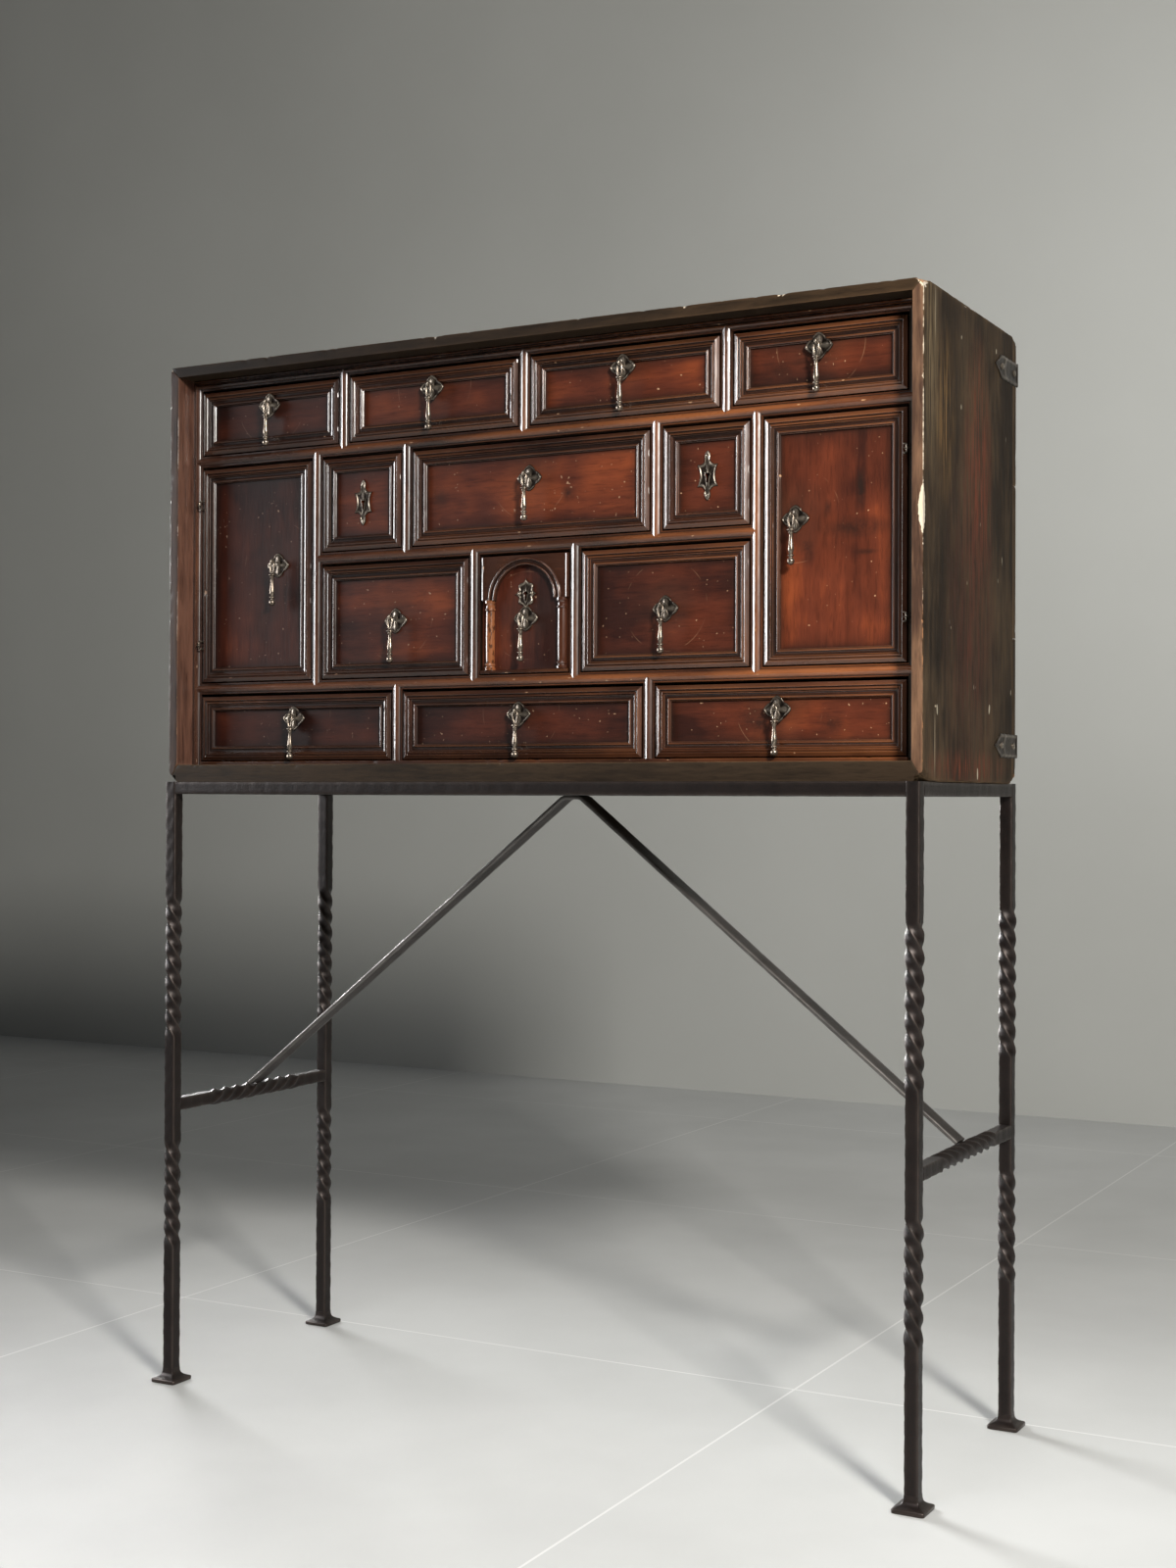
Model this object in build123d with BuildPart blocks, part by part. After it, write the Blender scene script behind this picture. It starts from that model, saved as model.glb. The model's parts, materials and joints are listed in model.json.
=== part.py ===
"""Vargueno: a Spanish cabinet of thirteen drawers and two cupboards on a forged iron stand.

Millimetres. X runs along the front, Y runs from front to back and Z is up. The origin is
on the floor, under the middle of the object. All joints are shut: drawers in, doors
closed and the drop handles hanging.
"""

import os
from math import atan2, cos, sin, sqrt, tan

from build123d import *

os.makedirs("parts", exist_ok=True)

# ---- Driving dimensions ----------------------------------------------------------------

# Case
case_width = 1030
case_depth = 338
case_height = 541
side_thick = 13
top_thick = 13
bottom_thick = 22
back_thick = 12

# Nest of drawers, set back behind the front edges of the case
nest_recess = 28
moulding_width = 14.5
moulding_depth = 8
moulding_fillet = 2.2
moulding_shoulder = 4.8
lining_thick = 9
partition_thick = 9
sill_height = 4.5

# Rails of the nest. The upper two are set out down from the top board, and the lower one up
# from the bottom board, so that the third row takes what height is left.
upper_rail_drop = 108
middle_rail_drop = 136.5
lower_rail_rise = 100

# Uprights of the nest, as the places of their centre lines from the middle of the case
top_left_upright = -261
top_middle_upright = 2
top_right_upright = 269
left_door_post = -302
right_door_post = 307
small_left_upright = -166
small_right_upright = 180
arch_left_upright = -67
arch_right_upright = 73
base_left_upright = -179
base_right_upright = 171

# Drawer and door fronts
side_gap = 2
top_gap = 3.5
foot_gap = 1.5
front_setback = 1
panel_recess = 7.5
front_thick = 12
frame_width = 18.5
bead_width = 4.6
bead_foot = 5
reed_width = 2.8
reed_height = 5.8
reed_foot = 4.2
cove_height = 3
cove_slope = 1.2
inner_bead_width = 3.6
inner_bead_height = 4.6
inner_bead_foot = 2.4

# Drawer boxes
box_side_thick = 8
box_bottom_thick = 6
box_side_drop = 4
runner_gap = 0.4
box_back_gap = 4

# Arched front
arch_radius = 41
arch_band = 9.5
arch_band_thick = 2.6
spandrel_thick = 4.4
arch_head_margin = 2.5
column_radius = 6.2
column_ring_radius = 7.3
column_spacing = 100
capital_height = 13
base_height = 9
ring_height = 3
sill_strip_height = 4.5
sill_strip_thick = 6.6

# Drop handles
plate_half_width = 17
plate_half_height = 16
plate_waist = 8.2
plate_lobe = 1.3
plate_thick = 1.6
plate_clearance = 0.1
wire_radius = 1.25
eye_wire_radius = 1.3
eye_clearance = 0.08
pivot_stand_off = 13.5
pivot_rise = 3.5
shank_radius = 1.7
clinch_length = 14
clinch_thick = 1.5
loop_half_width = 3.4
loop_length = 15.5
collar_radius = 4.4
collar_height = 3.6
neck_radius = 2.2
swell_radius = 3.4
swell_drop = 38
waist_drop = 44
ring_radius = 3.6
ball_radius = 4.1
drop_length = 56.7

# Heights of the handle plates, from the middle of their row or door
top_row_plate_rise = 15.5
middle_drawer_plate_rise = 13.9
third_row_plate_rise = -2
base_row_plate_rise = 10.5
left_door_plate_rise = 8
right_door_plate_rise = 24
left_door_plate_inset = 57
right_door_plate_inset = 38

# Lock plates and locks
lock_plate_half_height = 29
lock_plate_half_width = 13
lock_ear_height = 13
lock_waist = 8.6
lock_leaf_width = 4.2
lock_leaf_height = 22.5
lock_neck_width = 2.6
lock_neck_height = 18
keyhole_radius = 2.6
keyhole_length = 20
arch_lock_half_height = 18.5
arch_lock_half_width = 15.5
arch_lock_rise = 6.5
arch_plate_drop = 29.5
arch_lock_lobe_width = 12.5
arch_lock_lobe_height = 11
arch_lock_waist = 9
arch_lock_waist_height = 5
arch_lock_neck_width = 4.5
arch_lock_neck_height = 13.5
lock_case_width = 44
lock_case_height = 30
lock_case_thick = 9

# Door hinges, each an eye in the stile round a staple in the door
hinge_inset = 50
hinge_axis_inset = 0.6
hinge_stand_off = 3.8
hinge_wire_radius = 1
hinge_bend_slack = 0.2
hinge_shank_radius = 0.9
hinge_clearance = 0.08
hinge_staple_half_height = 5
hinge_arm_offset = 3.2
hinge_shank_depth = 6

# Corner straps on the back corners
strap_height = 28
strap_side_length = 86
strap_point_length = 24
strap_back_length = 60
strap_thick = 2
strap_inset = 45
nail_radius = 4
nail_rise = 1.4

# Stand
stand_height = 780
bar_size = 16
leg_side_inset = 1
leg_front_overhang = 7
quarter_turn = 22.5
upper_twist_bottom = 449
upper_twist_quarters = 8
lower_twist_bottom = 177
lower_twist_quarters = 6
foot_size = 38
foot_edge = 5
foot_height = 12
stretcher_height = 359
stretcher_quarter_turn = 24
stretcher_quarters = 8
cross_bar_width = 28
cross_bar_thick = 8
brace_width = 28
brace_thick = 5
brace_tab = 12
brace_landing = 4

# ---- Places worked out from them -------------------------------------------------------

outer_half = case_width / 2
case_bottom = stand_height
case_top = case_bottom + case_height
case_front = -case_depth / 2
case_back = case_depth / 2
inner_half = case_width / 2 - side_thick
inner_bottom = case_bottom + bottom_thick
inner_top = case_top - top_thick
nest_back = case_back - back_thick

nose_y = case_front + nest_recess
moulding_back = nose_y + moulding_depth
face_y = nose_y + front_setback
panel_y = face_y + panel_recess
front_back_y = panel_y + front_thick
box_back_y = nest_back - box_back_gap

half_moulding = moulding_width / 2
sill_top = inner_bottom + sill_height
upper_rail = inner_top - upper_rail_drop
middle_rail = upper_rail - middle_rail_drop
lower_rail = inner_bottom + lower_rail_rise
top_moulding = inner_top - half_moulding
stile = inner_half - half_moulding

pivot_y = panel_y - pivot_stand_off
eye_radius = wire_radius + eye_clearance + eye_wire_radius
hinge_y = face_y - hinge_stand_off
hinge_eye_radius = 2 * hinge_wire_radius + hinge_clearance
hinge_bend_radius = hinge_wire_radius + hinge_bend_slack
inner_edge = inner_half - moulding_width
hinge_x = inner_edge - hinge_axis_inset


class Bay:
    """A clear opening of the nest, between the edges of the mouldings round it."""

    def __init__(self, name, left, right, bottom, top):
        self.name = name
        self.left = left + half_moulding
        self.right = right - half_moulding
        self.bottom = bottom
        self.top = top - half_moulding
        self.middle_x = (self.left + self.right) / 2
        self.middle_z = (self.bottom + self.top) / 2


def above(rail):
    """The upper edge of a rail's moulding, where the openings above it start."""
    return rail + half_moulding


top_row = [
    Bay("top_drawer_1", -stile, top_left_upright, above(upper_rail), top_moulding),
    Bay("top_drawer_2", top_left_upright, top_middle_upright, above(upper_rail), top_moulding),
    Bay("top_drawer_3", top_middle_upright, top_right_upright, above(upper_rail), top_moulding),
    Bay("top_drawer_4", top_right_upright, stile, above(upper_rail), top_moulding),
]
small_left = Bay(
    "small_left_drawer", left_door_post, small_left_upright, above(middle_rail), upper_rail
)
middle_drawer = Bay(
    "middle_drawer", small_left_upright, small_right_upright, above(middle_rail), upper_rail
)
small_right = Bay(
    "small_right_drawer", small_right_upright, right_door_post, above(middle_rail), upper_rail
)
third_left = Bay(
    "third_row_left_drawer", left_door_post, arch_left_upright, above(lower_rail), middle_rail
)
arch = Bay("arch_drawer", arch_left_upright, arch_right_upright, above(lower_rail), middle_rail)
third_right = Bay(
    "third_row_right_drawer", arch_right_upright, right_door_post, above(lower_rail), middle_rail
)
base_row = [
    Bay("base_drawer_1", -stile, base_left_upright, sill_top, lower_rail),
    Bay("base_drawer_2", base_left_upright, base_right_upright, sill_top, lower_rail),
    Bay("base_drawer_3", base_right_upright, stile, sill_top, lower_rail),
]
left_door = Bay("left_door", -stile, left_door_post, above(lower_rail), upper_rail)
right_door = Bay("right_door", right_door_post, stile, above(lower_rail), upper_rail)

framed_drawers = [*top_row, small_left, middle_drawer, small_right, third_left, third_right]
framed_drawers += base_row
lock_bays = [small_left, small_right]


# ---- Helpers ---------------------------------------------------------------------------


def write_node(name, *pieces):
    """Write separate pieces as one node, each still its own solid."""
    solids = [solid for piece in pieces for solid in piece.solids()]
    node = Compound(solids)
    node.label = name
    export_step(node, f"parts/{name}.step")


def board(left, right, front, back, bottom, top):
    """A plain board between two opposite corners."""
    with BuildPart() as plank:
        with Locations(((left + right) / 2, (front + back) / 2, (bottom + top) / 2)):
            Box(right - left, back - front, top - bottom)
    return plank.part


def front_plane(y):
    """The plane of the front at depth y, seen from the front: X right and Z up."""
    return Plane(origin=(0, y, 0), x_dir=(1, 0, 0), z_dir=(0, -1, 0))


def outline_prism(points, back, front):
    """A prism whose outline is drawn on the front, from depth back out to depth front."""
    with BuildPart() as prism:
        with BuildSketch(front_plane(back)):
            with BuildLine():
                Polyline(*points, close=True)
            make_face()
        extrude(amount=back - front)
    return prism.part


# ---- Case ------------------------------------------------------------------------------


def case_board(name, outline):
    """A board of the case, mitred to its neighbours, seen from the front."""
    write_node(name, outline_prism(outline, nest_back, case_front))


for name, side in (("left_side_board", -1), ("right_side_board", 1)):
    case_board(
        name,
        [
            (side * outer_half, case_bottom),
            (side * inner_half, inner_bottom),
            (side * inner_half, inner_top),
            (side * outer_half, case_top),
        ],
    )
for name, outer_z, inner_z in (
    ("top_board", case_top, inner_top),
    ("bottom_board", case_bottom, inner_bottom),
):
    case_board(
        name,
        [
            (-outer_half, outer_z),
            (outer_half, outer_z),
            (inner_half, inner_z),
            (-inner_half, inner_z),
        ],
    )
write_node(
    "back_board",
    board(-outer_half, outer_half, nest_back, case_back, case_bottom, case_top),
)

# ---- Linings, shelves and partitions of the nest ---------------------------------------

lining_half = inner_half - lining_thick


def shelf(left, right, rail):
    """A shelf as thick as the moulding on its front edge, so that drawers slide over both."""
    return board(
        left, right, moulding_back, nest_back, rail - half_moulding, rail + half_moulding
    )


half_partition = partition_thick / 2
write_node(
    "linings_and_shelves",
    board(-inner_half, -lining_half, moulding_back, nest_back, inner_bottom, inner_top),
    board(lining_half, inner_half, moulding_back, nest_back, inner_bottom, inner_top),
    board(
        -lining_half, lining_half, moulding_back, nest_back, inner_top - lining_thick, inner_top
    ),
    board(-lining_half, lining_half, moulding_back, nest_back, inner_bottom, sill_top),
    shelf(-lining_half, lining_half, upper_rail),
    shelf(left_door_post + half_partition, right_door_post - half_partition, middle_rail),
    shelf(-lining_half, lining_half, lower_rail),
)


def partition(upright, bottom, top):
    """An upright board behind a divider moulding."""
    return board(
        upright - half_partition,
        upright + half_partition,
        moulding_back,
        nest_back,
        bottom,
        top,
    )


write_node(
    "partitions",
    *[
        partition(upright, above(upper_rail), inner_top - lining_thick)
        for upright in (top_left_upright, top_middle_upright, top_right_upright)
    ],
    *[
        partition(upright, above(lower_rail), upper_rail - half_moulding)
        for upright in (left_door_post, right_door_post)
    ],
    *[
        partition(upright, above(middle_rail), upper_rail - half_moulding)
        for upright in (small_left_upright, small_right_upright)
    ],
    *[
        partition(upright, above(lower_rail), middle_rail - half_moulding)
        for upright in (arch_left_upright, arch_right_upright)
    ],
    *[
        partition(upright, sill_top, lower_rail - half_moulding)
        for upright in (base_left_upright, base_right_upright)
    ],
)

# ---- Mouldings on the front edges of the nest ------------------------------------------


def moulding(section, length, outline, *notches):
    """A strip with two flat shoulders and a round nose, drawn on section and run for length.

    It is cut to an outline on the front, and notched where other strips point into it.
    """
    with BuildPart() as strip:
        with BuildSketch(section):
            with BuildLine():
                shoulders = Polyline(
                    (moulding_fillet, moulding_shoulder),
                    (0, moulding_shoulder),
                    (0, 0),
                    (moulding_width, 0),
                    (moulding_width, moulding_shoulder),
                    (moulding_width - moulding_fillet, moulding_shoulder),
                )
                ThreePointArc(shoulders @ 1, (half_moulding, moulding_depth), shoulders @ 0)
            make_face()
        extrude(amount=length)
        add(outline_prism(outline, moulding_back, nose_y), mode=Mode.INTERSECT)
        for notch in notches:
            add(outline_prism(notch, moulding_back, nose_y), mode=Mode.SUBTRACT)
    return strip.part


def upright_moulding(x, outline, *notches):
    """A vertical strip on the centre line x."""
    section = Plane(
        origin=(x - half_moulding, moulding_back, inner_top), x_dir=(1, 0, 0), z_dir=(0, 0, -1)
    )
    return moulding(section, inner_top - inner_bottom, outline, *notches)


def level_moulding(z, outline, *notches):
    """A level strip on the centre line z."""
    section = Plane(
        origin=(-inner_half, moulding_back, z - half_moulding), x_dir=(0, 0, 1), z_dir=(1, 0, 0)
    )
    return moulding(section, 2 * inner_half, outline, *notches)


def upright_outline(x, bottom, top, pointed_foot=True):
    """The outline of an upright whose points reach the centre lines of the rails it meets."""
    left = x - half_moulding
    right = x + half_moulding
    foot = [(left, bottom), (right, bottom)]
    if pointed_foot:
        foot = [(left, bottom + half_moulding), (x, bottom), (right, bottom + half_moulding)]
    return foot + [(right, top - half_moulding), (x, top), (left, top - half_moulding)]


def rail_outline(left, right, z):
    """The outline of a rail whose points reach the centre lines of the uprights it meets."""
    lower = z - half_moulding
    upper = z + half_moulding
    return [
        (left, z),
        (left + half_moulding, lower),
        (right - half_moulding, lower),
        (right, z),
        (right - half_moulding, upper),
        (left + half_moulding, upper),
    ]


top_uprights = {
    x: upright_outline(x, upper_rail, top_moulding)
    for x in (top_left_upright, top_middle_upright, top_right_upright)
}
door_posts = {
    x: upright_outline(x, lower_rail, upper_rail) for x in (left_door_post, right_door_post)
}
small_uprights = {
    x: upright_outline(x, middle_rail, upper_rail)
    for x in (small_left_upright, small_right_upright)
}
arch_uprights = {
    x: upright_outline(x, lower_rail, middle_rail)
    for x in (arch_left_upright, arch_right_upright)
}
base_uprights = {
    x: upright_outline(x, sill_top, lower_rail, pointed_foot=False)
    for x in (base_left_upright, base_right_upright)
}
upper_outline = rail_outline(-stile, stile, upper_rail)
middle_outline = rail_outline(left_door_post, right_door_post, middle_rail)
lower_outline = rail_outline(-stile, stile, lower_rail)

top_outline = [
    (-inner_half, inner_top),
    (inner_half, inner_top),
    (inner_edge, inner_top - moulding_width),
    (-inner_edge, inner_top - moulding_width),
]


def stile_outline(side):
    """The outline of a stile, mitred to the top moulding and standing on the bottom board."""
    return [
        (side * inner_half, inner_bottom),
        (side * inner_half, inner_top),
        (side * inner_edge, inner_top - moulding_width),
        (side * inner_edge, inner_bottom),
    ]


def back_holes(places, front, back, radius):
    """Round holes that run straight back from depth front to depth back."""
    with BuildPart() as holes:
        with BuildSketch(front_plane(front)):
            with Locations(*places):
                Circle(radius)
        extrude(amount=front - back)
    return holes.part


def cut(piece, *tools):
    """A piece less the tools."""
    with BuildPart() as result:
        add(piece)
        for tool in tools:
            add(tool, mode=Mode.SUBTRACT)
    return result.part


hinge_heights = (left_door.bottom + hinge_inset, left_door.top - hinge_inset)
shank_end = face_y + hinge_shank_depth


def stile_moulding(side):
    """A stile, notched for the rails and drilled for the shanks of its two hinge eyes."""
    stile_strip = upright_moulding(
        side * stile, stile_outline(side), upper_outline, lower_outline
    )
    shanks = [(side * (hinge_x + hinge_eye_radius), z) for z in hinge_heights]
    return cut(stile_strip, back_holes(shanks, hinge_y, shank_end, hinge_shank_radius))


write_node(
    "frame_mouldings",
    stile_moulding(-1),
    stile_moulding(1),
    level_moulding(top_moulding, top_outline, *top_uprights.values()),
    board(-inner_edge, inner_edge, face_y, moulding_back, inner_bottom, sill_top),
)
write_node(
    "rail_and_divider_mouldings",
    level_moulding(
        upper_rail,
        upper_outline,
        *top_uprights.values(),
        *door_posts.values(),
        *small_uprights.values(),
    ),
    level_moulding(
        middle_rail, middle_outline, *small_uprights.values(), *arch_uprights.values()
    ),
    level_moulding(
        lower_rail,
        lower_outline,
        *door_posts.values(),
        *arch_uprights.values(),
        *base_uprights.values(),
    ),
    *[upright_moulding(x, outline) for x, outline in top_uprights.items()],
    *[upright_moulding(x, outline, middle_outline) for x, outline in door_posts.items()],
    *[upright_moulding(x, outline) for x, outline in small_uprights.items()],
    *[upright_moulding(x, outline) for x, outline in arch_uprights.items()],
    *[upright_moulding(x, outline) for x, outline in base_uprights.items()],
)

# ---- Framed fronts and drawer boxes ----------------------------------------------------


def front_edges(bay):
    """The outer edges of the front that fills a bay: left, right, bottom and top."""
    return (
        bay.left + side_gap,
        bay.right - side_gap,
        bay.bottom + foot_gap,
        bay.top - top_gap,
    )


def front_strip(corner, length):
    """One mitred strip of a front's frame. It runs along X of the corner's plane."""
    across = Plane(origin=corner.origin, x_dir=corner.y_dir, z_dir=corner.x_dir)
    reed_end = bead_width + reed_width
    inner_start = frame_width - inner_bead_width
    with BuildPart() as strip:
        with BuildSketch(across):
            with BuildLine():
                Polyline((frame_width, inner_bead_foot), (frame_width, 0), (0, 0), (0, bead_foot))
                ThreePointArc(
                    (0, bead_foot), (bead_width / 2, panel_recess), (bead_width, bead_foot)
                )
                ThreePointArc(
                    (bead_width, bead_foot),
                    (bead_width + reed_width / 2, reed_height),
                    (reed_end, reed_foot),
                )
                Polyline(
                    (reed_end, reed_foot),
                    (reed_end + cove_slope, cove_height),
                    (inner_start, cove_height),
                )
                ThreePointArc(
                    (inner_start, cove_height),
                    (inner_start + inner_bead_width / 2, inner_bead_height),
                    (frame_width, inner_bead_foot),
                )
            make_face()
        extrude(amount=length)
        with BuildSketch(corner):
            with BuildLine():
                Polyline(
                    (0, 0),
                    (length, 0),
                    (length - frame_width, frame_width),
                    (frame_width, frame_width),
                    close=True,
                )
            make_face()
        extrude(amount=panel_recess, mode=Mode.INTERSECT)
    return strip.part


def front_frame(bay):
    """The four mitred strips of a front, in the order bottom, right, top and left."""
    left, right, bottom, top = front_edges(bay)
    width = right - left
    height = top - bottom
    out = (0, -1, 0)
    return [
        front_strip(Plane((left, panel_y, bottom), x_dir=(1, 0, 0), z_dir=out), width),
        front_strip(Plane((right, panel_y, bottom), x_dir=(0, 0, 1), z_dir=out), height),
        front_strip(Plane((right, panel_y, top), x_dir=(-1, 0, 0), z_dir=out), width),
        front_strip(Plane((left, panel_y, top), x_dir=(0, 0, -1), z_dir=out), height),
    ]


def front_board(bay, handle_places, keyhole_places):
    """The board behind a frame, with its holes for handle shanks and keys."""
    left, right, bottom, top = front_edges(bay)
    with BuildPart() as panel:
        add(board(left, right, panel_y, front_back_y, bottom, top))
        with BuildSketch(front_plane(panel_y)):
            with Locations(*handle_places):
                Circle(shank_radius)
            with Locations(*keyhole_places):
                SlotOverall(keyhole_length, 2 * keyhole_radius, rotation=90)
        extrude(amount=-front_thick, mode=Mode.SUBTRACT)
    return panel.part


def drawer_box(bay):
    """The two sides, the back and the bottom of a drawer."""
    left, right, _, front_top = front_edges(bay)
    floor = bay.bottom + runner_gap
    wall_bottom = floor + box_bottom_thick
    wall_top = front_top - box_side_drop
    inside_left = left + box_side_thick
    inside_right = right - box_side_thick
    inside_back = box_back_y - box_side_thick
    return [
        board(left, inside_left, front_back_y, box_back_y, wall_bottom, wall_top),
        board(inside_right, right, front_back_y, box_back_y, wall_bottom, wall_top),
        board(inside_left, inside_right, inside_back, box_back_y, wall_bottom, wall_top),
        board(left, right, front_back_y, box_back_y, floor, wall_bottom),
    ]


# ---- Drop handles ----------------------------------------------------------------------


def handle_mount(x, z, back_y):
    """A plate with its middle at x and z, and the eye that stands out through it."""
    # Each of the plate's four points is a pair of arcs that meet in a hollow corner.
    tips = [
        Vector(plate_half_width, 0),
        Vector(0, plate_half_height),
        Vector(-plate_half_width, 0),
        Vector(0, -plate_half_height),
    ]
    notches = [
        Vector(plate_waist, plate_waist),
        Vector(-plate_waist, plate_waist),
        Vector(-plate_waist, -plate_waist),
        Vector(plate_waist, -plate_waist),
    ]
    with BuildPart() as mount:
        with BuildSketch(front_plane(back_y)):
            with BuildLine():
                for tip, notch, next_tip in zip(tips, notches, tips[1:] + tips[:1]):
                    for start, end in ((tip, notch), (notch, next_tip)):
                        middle = (start + end) / 2
                        ThreePointArc(start, middle + middle.normalized() * plate_lobe, end)
            make_face()
        extrude(amount=plate_thick)
        # The eye's shank runs back through the plate and the board, and is clinched there.
        with Locations((0, pivot_y, pivot_rise)):
            Torus(eye_radius, eye_wire_radius, rotation=(0, 90, 0))
        with BuildSketch(front_plane(pivot_y + eye_radius)):
            with Locations((0, pivot_rise)):
                Circle(shank_radius)
        extrude(amount=pivot_y + eye_radius - front_back_y)
        with Locations((0, front_back_y + clinch_thick / 2, pivot_rise)):
            Box(clinch_length, clinch_thick, 2 * shank_radius)
    return Pos(x, 0, z) * mount.part


def plate_depth(bay, plate_z):
    """The depth of a plate's back: the panel, or the frame's inner bead if it reaches there."""
    frame_foot_z = front_edges(bay)[3] - frame_width
    if plate_z + plate_half_height > frame_foot_z:
        return panel_y - inner_bead_height - plate_clearance
    return panel_y


with BuildPart() as handle_drop:
    # An oval loop hangs in the eye. Its top passes through the eye on the pivot.
    loop_foot = loop_length - loop_half_width
    with BuildLine(Plane.XZ):
        top_bend = ThreePointArc(
            (-loop_half_width, -loop_half_width), (0, 0), (loop_half_width, -loop_half_width)
        )
        foot_bend = ThreePointArc(
            (loop_half_width, -loop_foot), (0, -loop_length), (-loop_half_width, -loop_foot)
        )
        Line(top_bend @ 1, foot_bend @ 0)
        Line(foot_bend @ 1, top_bend @ 0)
    with BuildSketch(Plane((loop_half_width, 0, -loop_half_width))):
        Circle(wire_radius)
    sweep()
    # The turned drop: a collar, a swelling stem, a ring and a ball.
    collar_top = -loop_length - wire_radius / 2
    collar_foot = collar_top - collar_height
    ring_foot = -waist_drop - collar_height
    ball_middle = ball_radius - drop_length
    ball_top = ball_middle + sqrt(ball_radius**2 - neck_radius**2)
    with BuildSketch(Plane.XZ):
        with BuildLine():
            Polyline((0, -drop_length), (0, -loop_length), (neck_radius, -loop_length))
            Line((neck_radius, -loop_length), (neck_radius, collar_top))
            ThreePointArc(
                (neck_radius, collar_top),
                (collar_radius, (collar_top + collar_foot) / 2),
                (neck_radius, collar_foot),
            )
            Polyline(
                (neck_radius, collar_foot),
                (swell_radius, -swell_drop),
                (neck_radius, -waist_drop),
            )
            ThreePointArc(
                (neck_radius, -waist_drop),
                (ring_radius, (ring_foot - waist_drop) / 2),
                (neck_radius, ring_foot),
            )
            Line((neck_radius, ring_foot), (neck_radius, ball_top))
            ThreePointArc(
                (neck_radius, ball_top), (ball_radius, ball_middle), (0, -drop_length)
            )
        make_face()
    revolve(axis=Axis.Z)


def write_drop(name, x, z):
    """The drop that hangs in the eye of a plate with its middle at x and z."""
    write_node(name, Pos(x, pivot_y, z + pivot_rise) * handle_drop.part)


# ---- Lock plates and locks -------------------------------------------------------------


def lock_plate(x, z, outline):
    """A lock plate on the panel, pierced for the key."""
    with BuildPart() as plate:
        with BuildSketch(front_plane(panel_y)):
            with Locations((x, z)):
                add(outline)
                SlotOverall(
                    keyhole_length, 2 * keyhole_radius, rotation=90, mode=Mode.SUBTRACT
                )
        extrude(amount=plate_thick)
    return plate.part


def leaf_outline():
    """A tall plate with a leaf at each end, four ears and hollow sides."""
    with BuildSketch(mode=Mode.PRIVATE) as outline:
        with BuildLine():
            for end in (1, -1):
                tip = (0, end * lock_plate_half_height)
                neck = (lock_neck_width, end * lock_neck_height)
                ear = (lock_plate_half_width, end * lock_ear_height)
                ThreePointArc(tip, (lock_leaf_width, end * lock_leaf_height), neck)
                ThreePointArc(
                    neck, (lock_waist, end * (lock_ear_height + lock_neck_width)), ear
                )
            ThreePointArc(
                (lock_plate_half_width, lock_ear_height),
                (lock_waist, 0),
                (lock_plate_half_width, -lock_ear_height),
            )
            Line((0, lock_plate_half_height), (0, -lock_plate_half_height))
        make_face()
        mirror(about=Plane.YZ)
    return outline.sketch


def crown_outline():
    """A rounder plate with a point at each end, four lobes and a lobe at each side."""
    with BuildSketch(mode=Mode.PRIVATE) as outline:
        with BuildLine():
            for end in (1, -1):
                tip = (0, end * arch_lock_half_height)
                neck = (arch_lock_neck_width, end * arch_lock_neck_height)
                waist = (arch_lock_waist, end * arch_lock_waist_height)
                side = (arch_lock_half_width, 0)
                Line(tip, neck)
                ThreePointArc(neck, (arch_lock_lobe_width, end * arch_lock_lobe_height), waist)
                Line(waist, side)
            Line((0, arch_lock_half_height), (0, -arch_lock_half_height))
        make_face()
        mirror(about=Plane.YZ)
    return outline.sketch


def lock_case(x, z):
    """The lock's case, on the back of the board behind its plate."""
    return board(
        x - lock_case_width / 2,
        x + lock_case_width / 2,
        front_back_y,
        front_back_y + lock_case_thick,
        z - lock_case_height / 2,
        z + lock_case_height / 2,
    )


# ---- Drawers ---------------------------------------------------------------------------

plate_rises = {bay.name: top_row_plate_rise for bay in top_row}
plate_rises[middle_drawer.name] = middle_drawer_plate_rise
plate_rises[third_left.name] = third_row_plate_rise
plate_rises[third_right.name] = third_row_plate_rise
plate_rises.update({bay.name: base_row_plate_rise for bay in base_row})

for bay in framed_drawers:
    locked = bay in lock_bays
    plate_x = bay.middle_x
    plate_z = bay.middle_z + plate_rises.get(bay.name, 0)
    shanks = [] if locked else [(plate_x, plate_z + pivot_rise)]
    keyholes = [(plate_x, plate_z)] if locked else []
    write_node(
        bay.name, front_board(bay, shanks, keyholes), *front_frame(bay), *drawer_box(bay)
    )
    if locked:
        write_node(
            f"{bay.name}_lock",
            lock_plate(plate_x, plate_z, leaf_outline()),
            lock_case(plate_x, plate_z),
        )
    else:
        mount = handle_mount(plate_x, plate_z, plate_depth(bay, plate_z))
        write_node(f"{bay.name}_handle_plate", mount)
        write_drop(f"{bay.name}_handle_drop", plate_x, plate_z)

# The arched drawer has a lock plate under the arch's crown and a handle below it.
arch_left, arch_right, arch_bottom, arch_top = front_edges(arch)
ring_outer = arch_radius + arch_band
spring_z = arch_top - arch_head_margin - ring_outer
arch_lock_z = spring_z + arch_lock_rise
arch_plate_z = arch_lock_z - arch_plate_drop
write_node(
    arch.name,
    front_board(
        arch, [(arch.middle_x, arch_plate_z + pivot_rise)], [(arch.middle_x, arch_lock_z)]
    ),
    *drawer_box(arch),
)
write_node(
    f"{arch.name}_ironwork",
    handle_mount(arch.middle_x, arch_plate_z, panel_y),
    lock_plate(arch.middle_x, arch_lock_z, crown_outline()),
    lock_case(arch.middle_x, arch_lock_z),
)
write_drop(f"{arch.name}_handle_drop", arch.middle_x, arch_plate_z)

# ---- Arch on the middle drawer's front -------------------------------------------------

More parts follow.
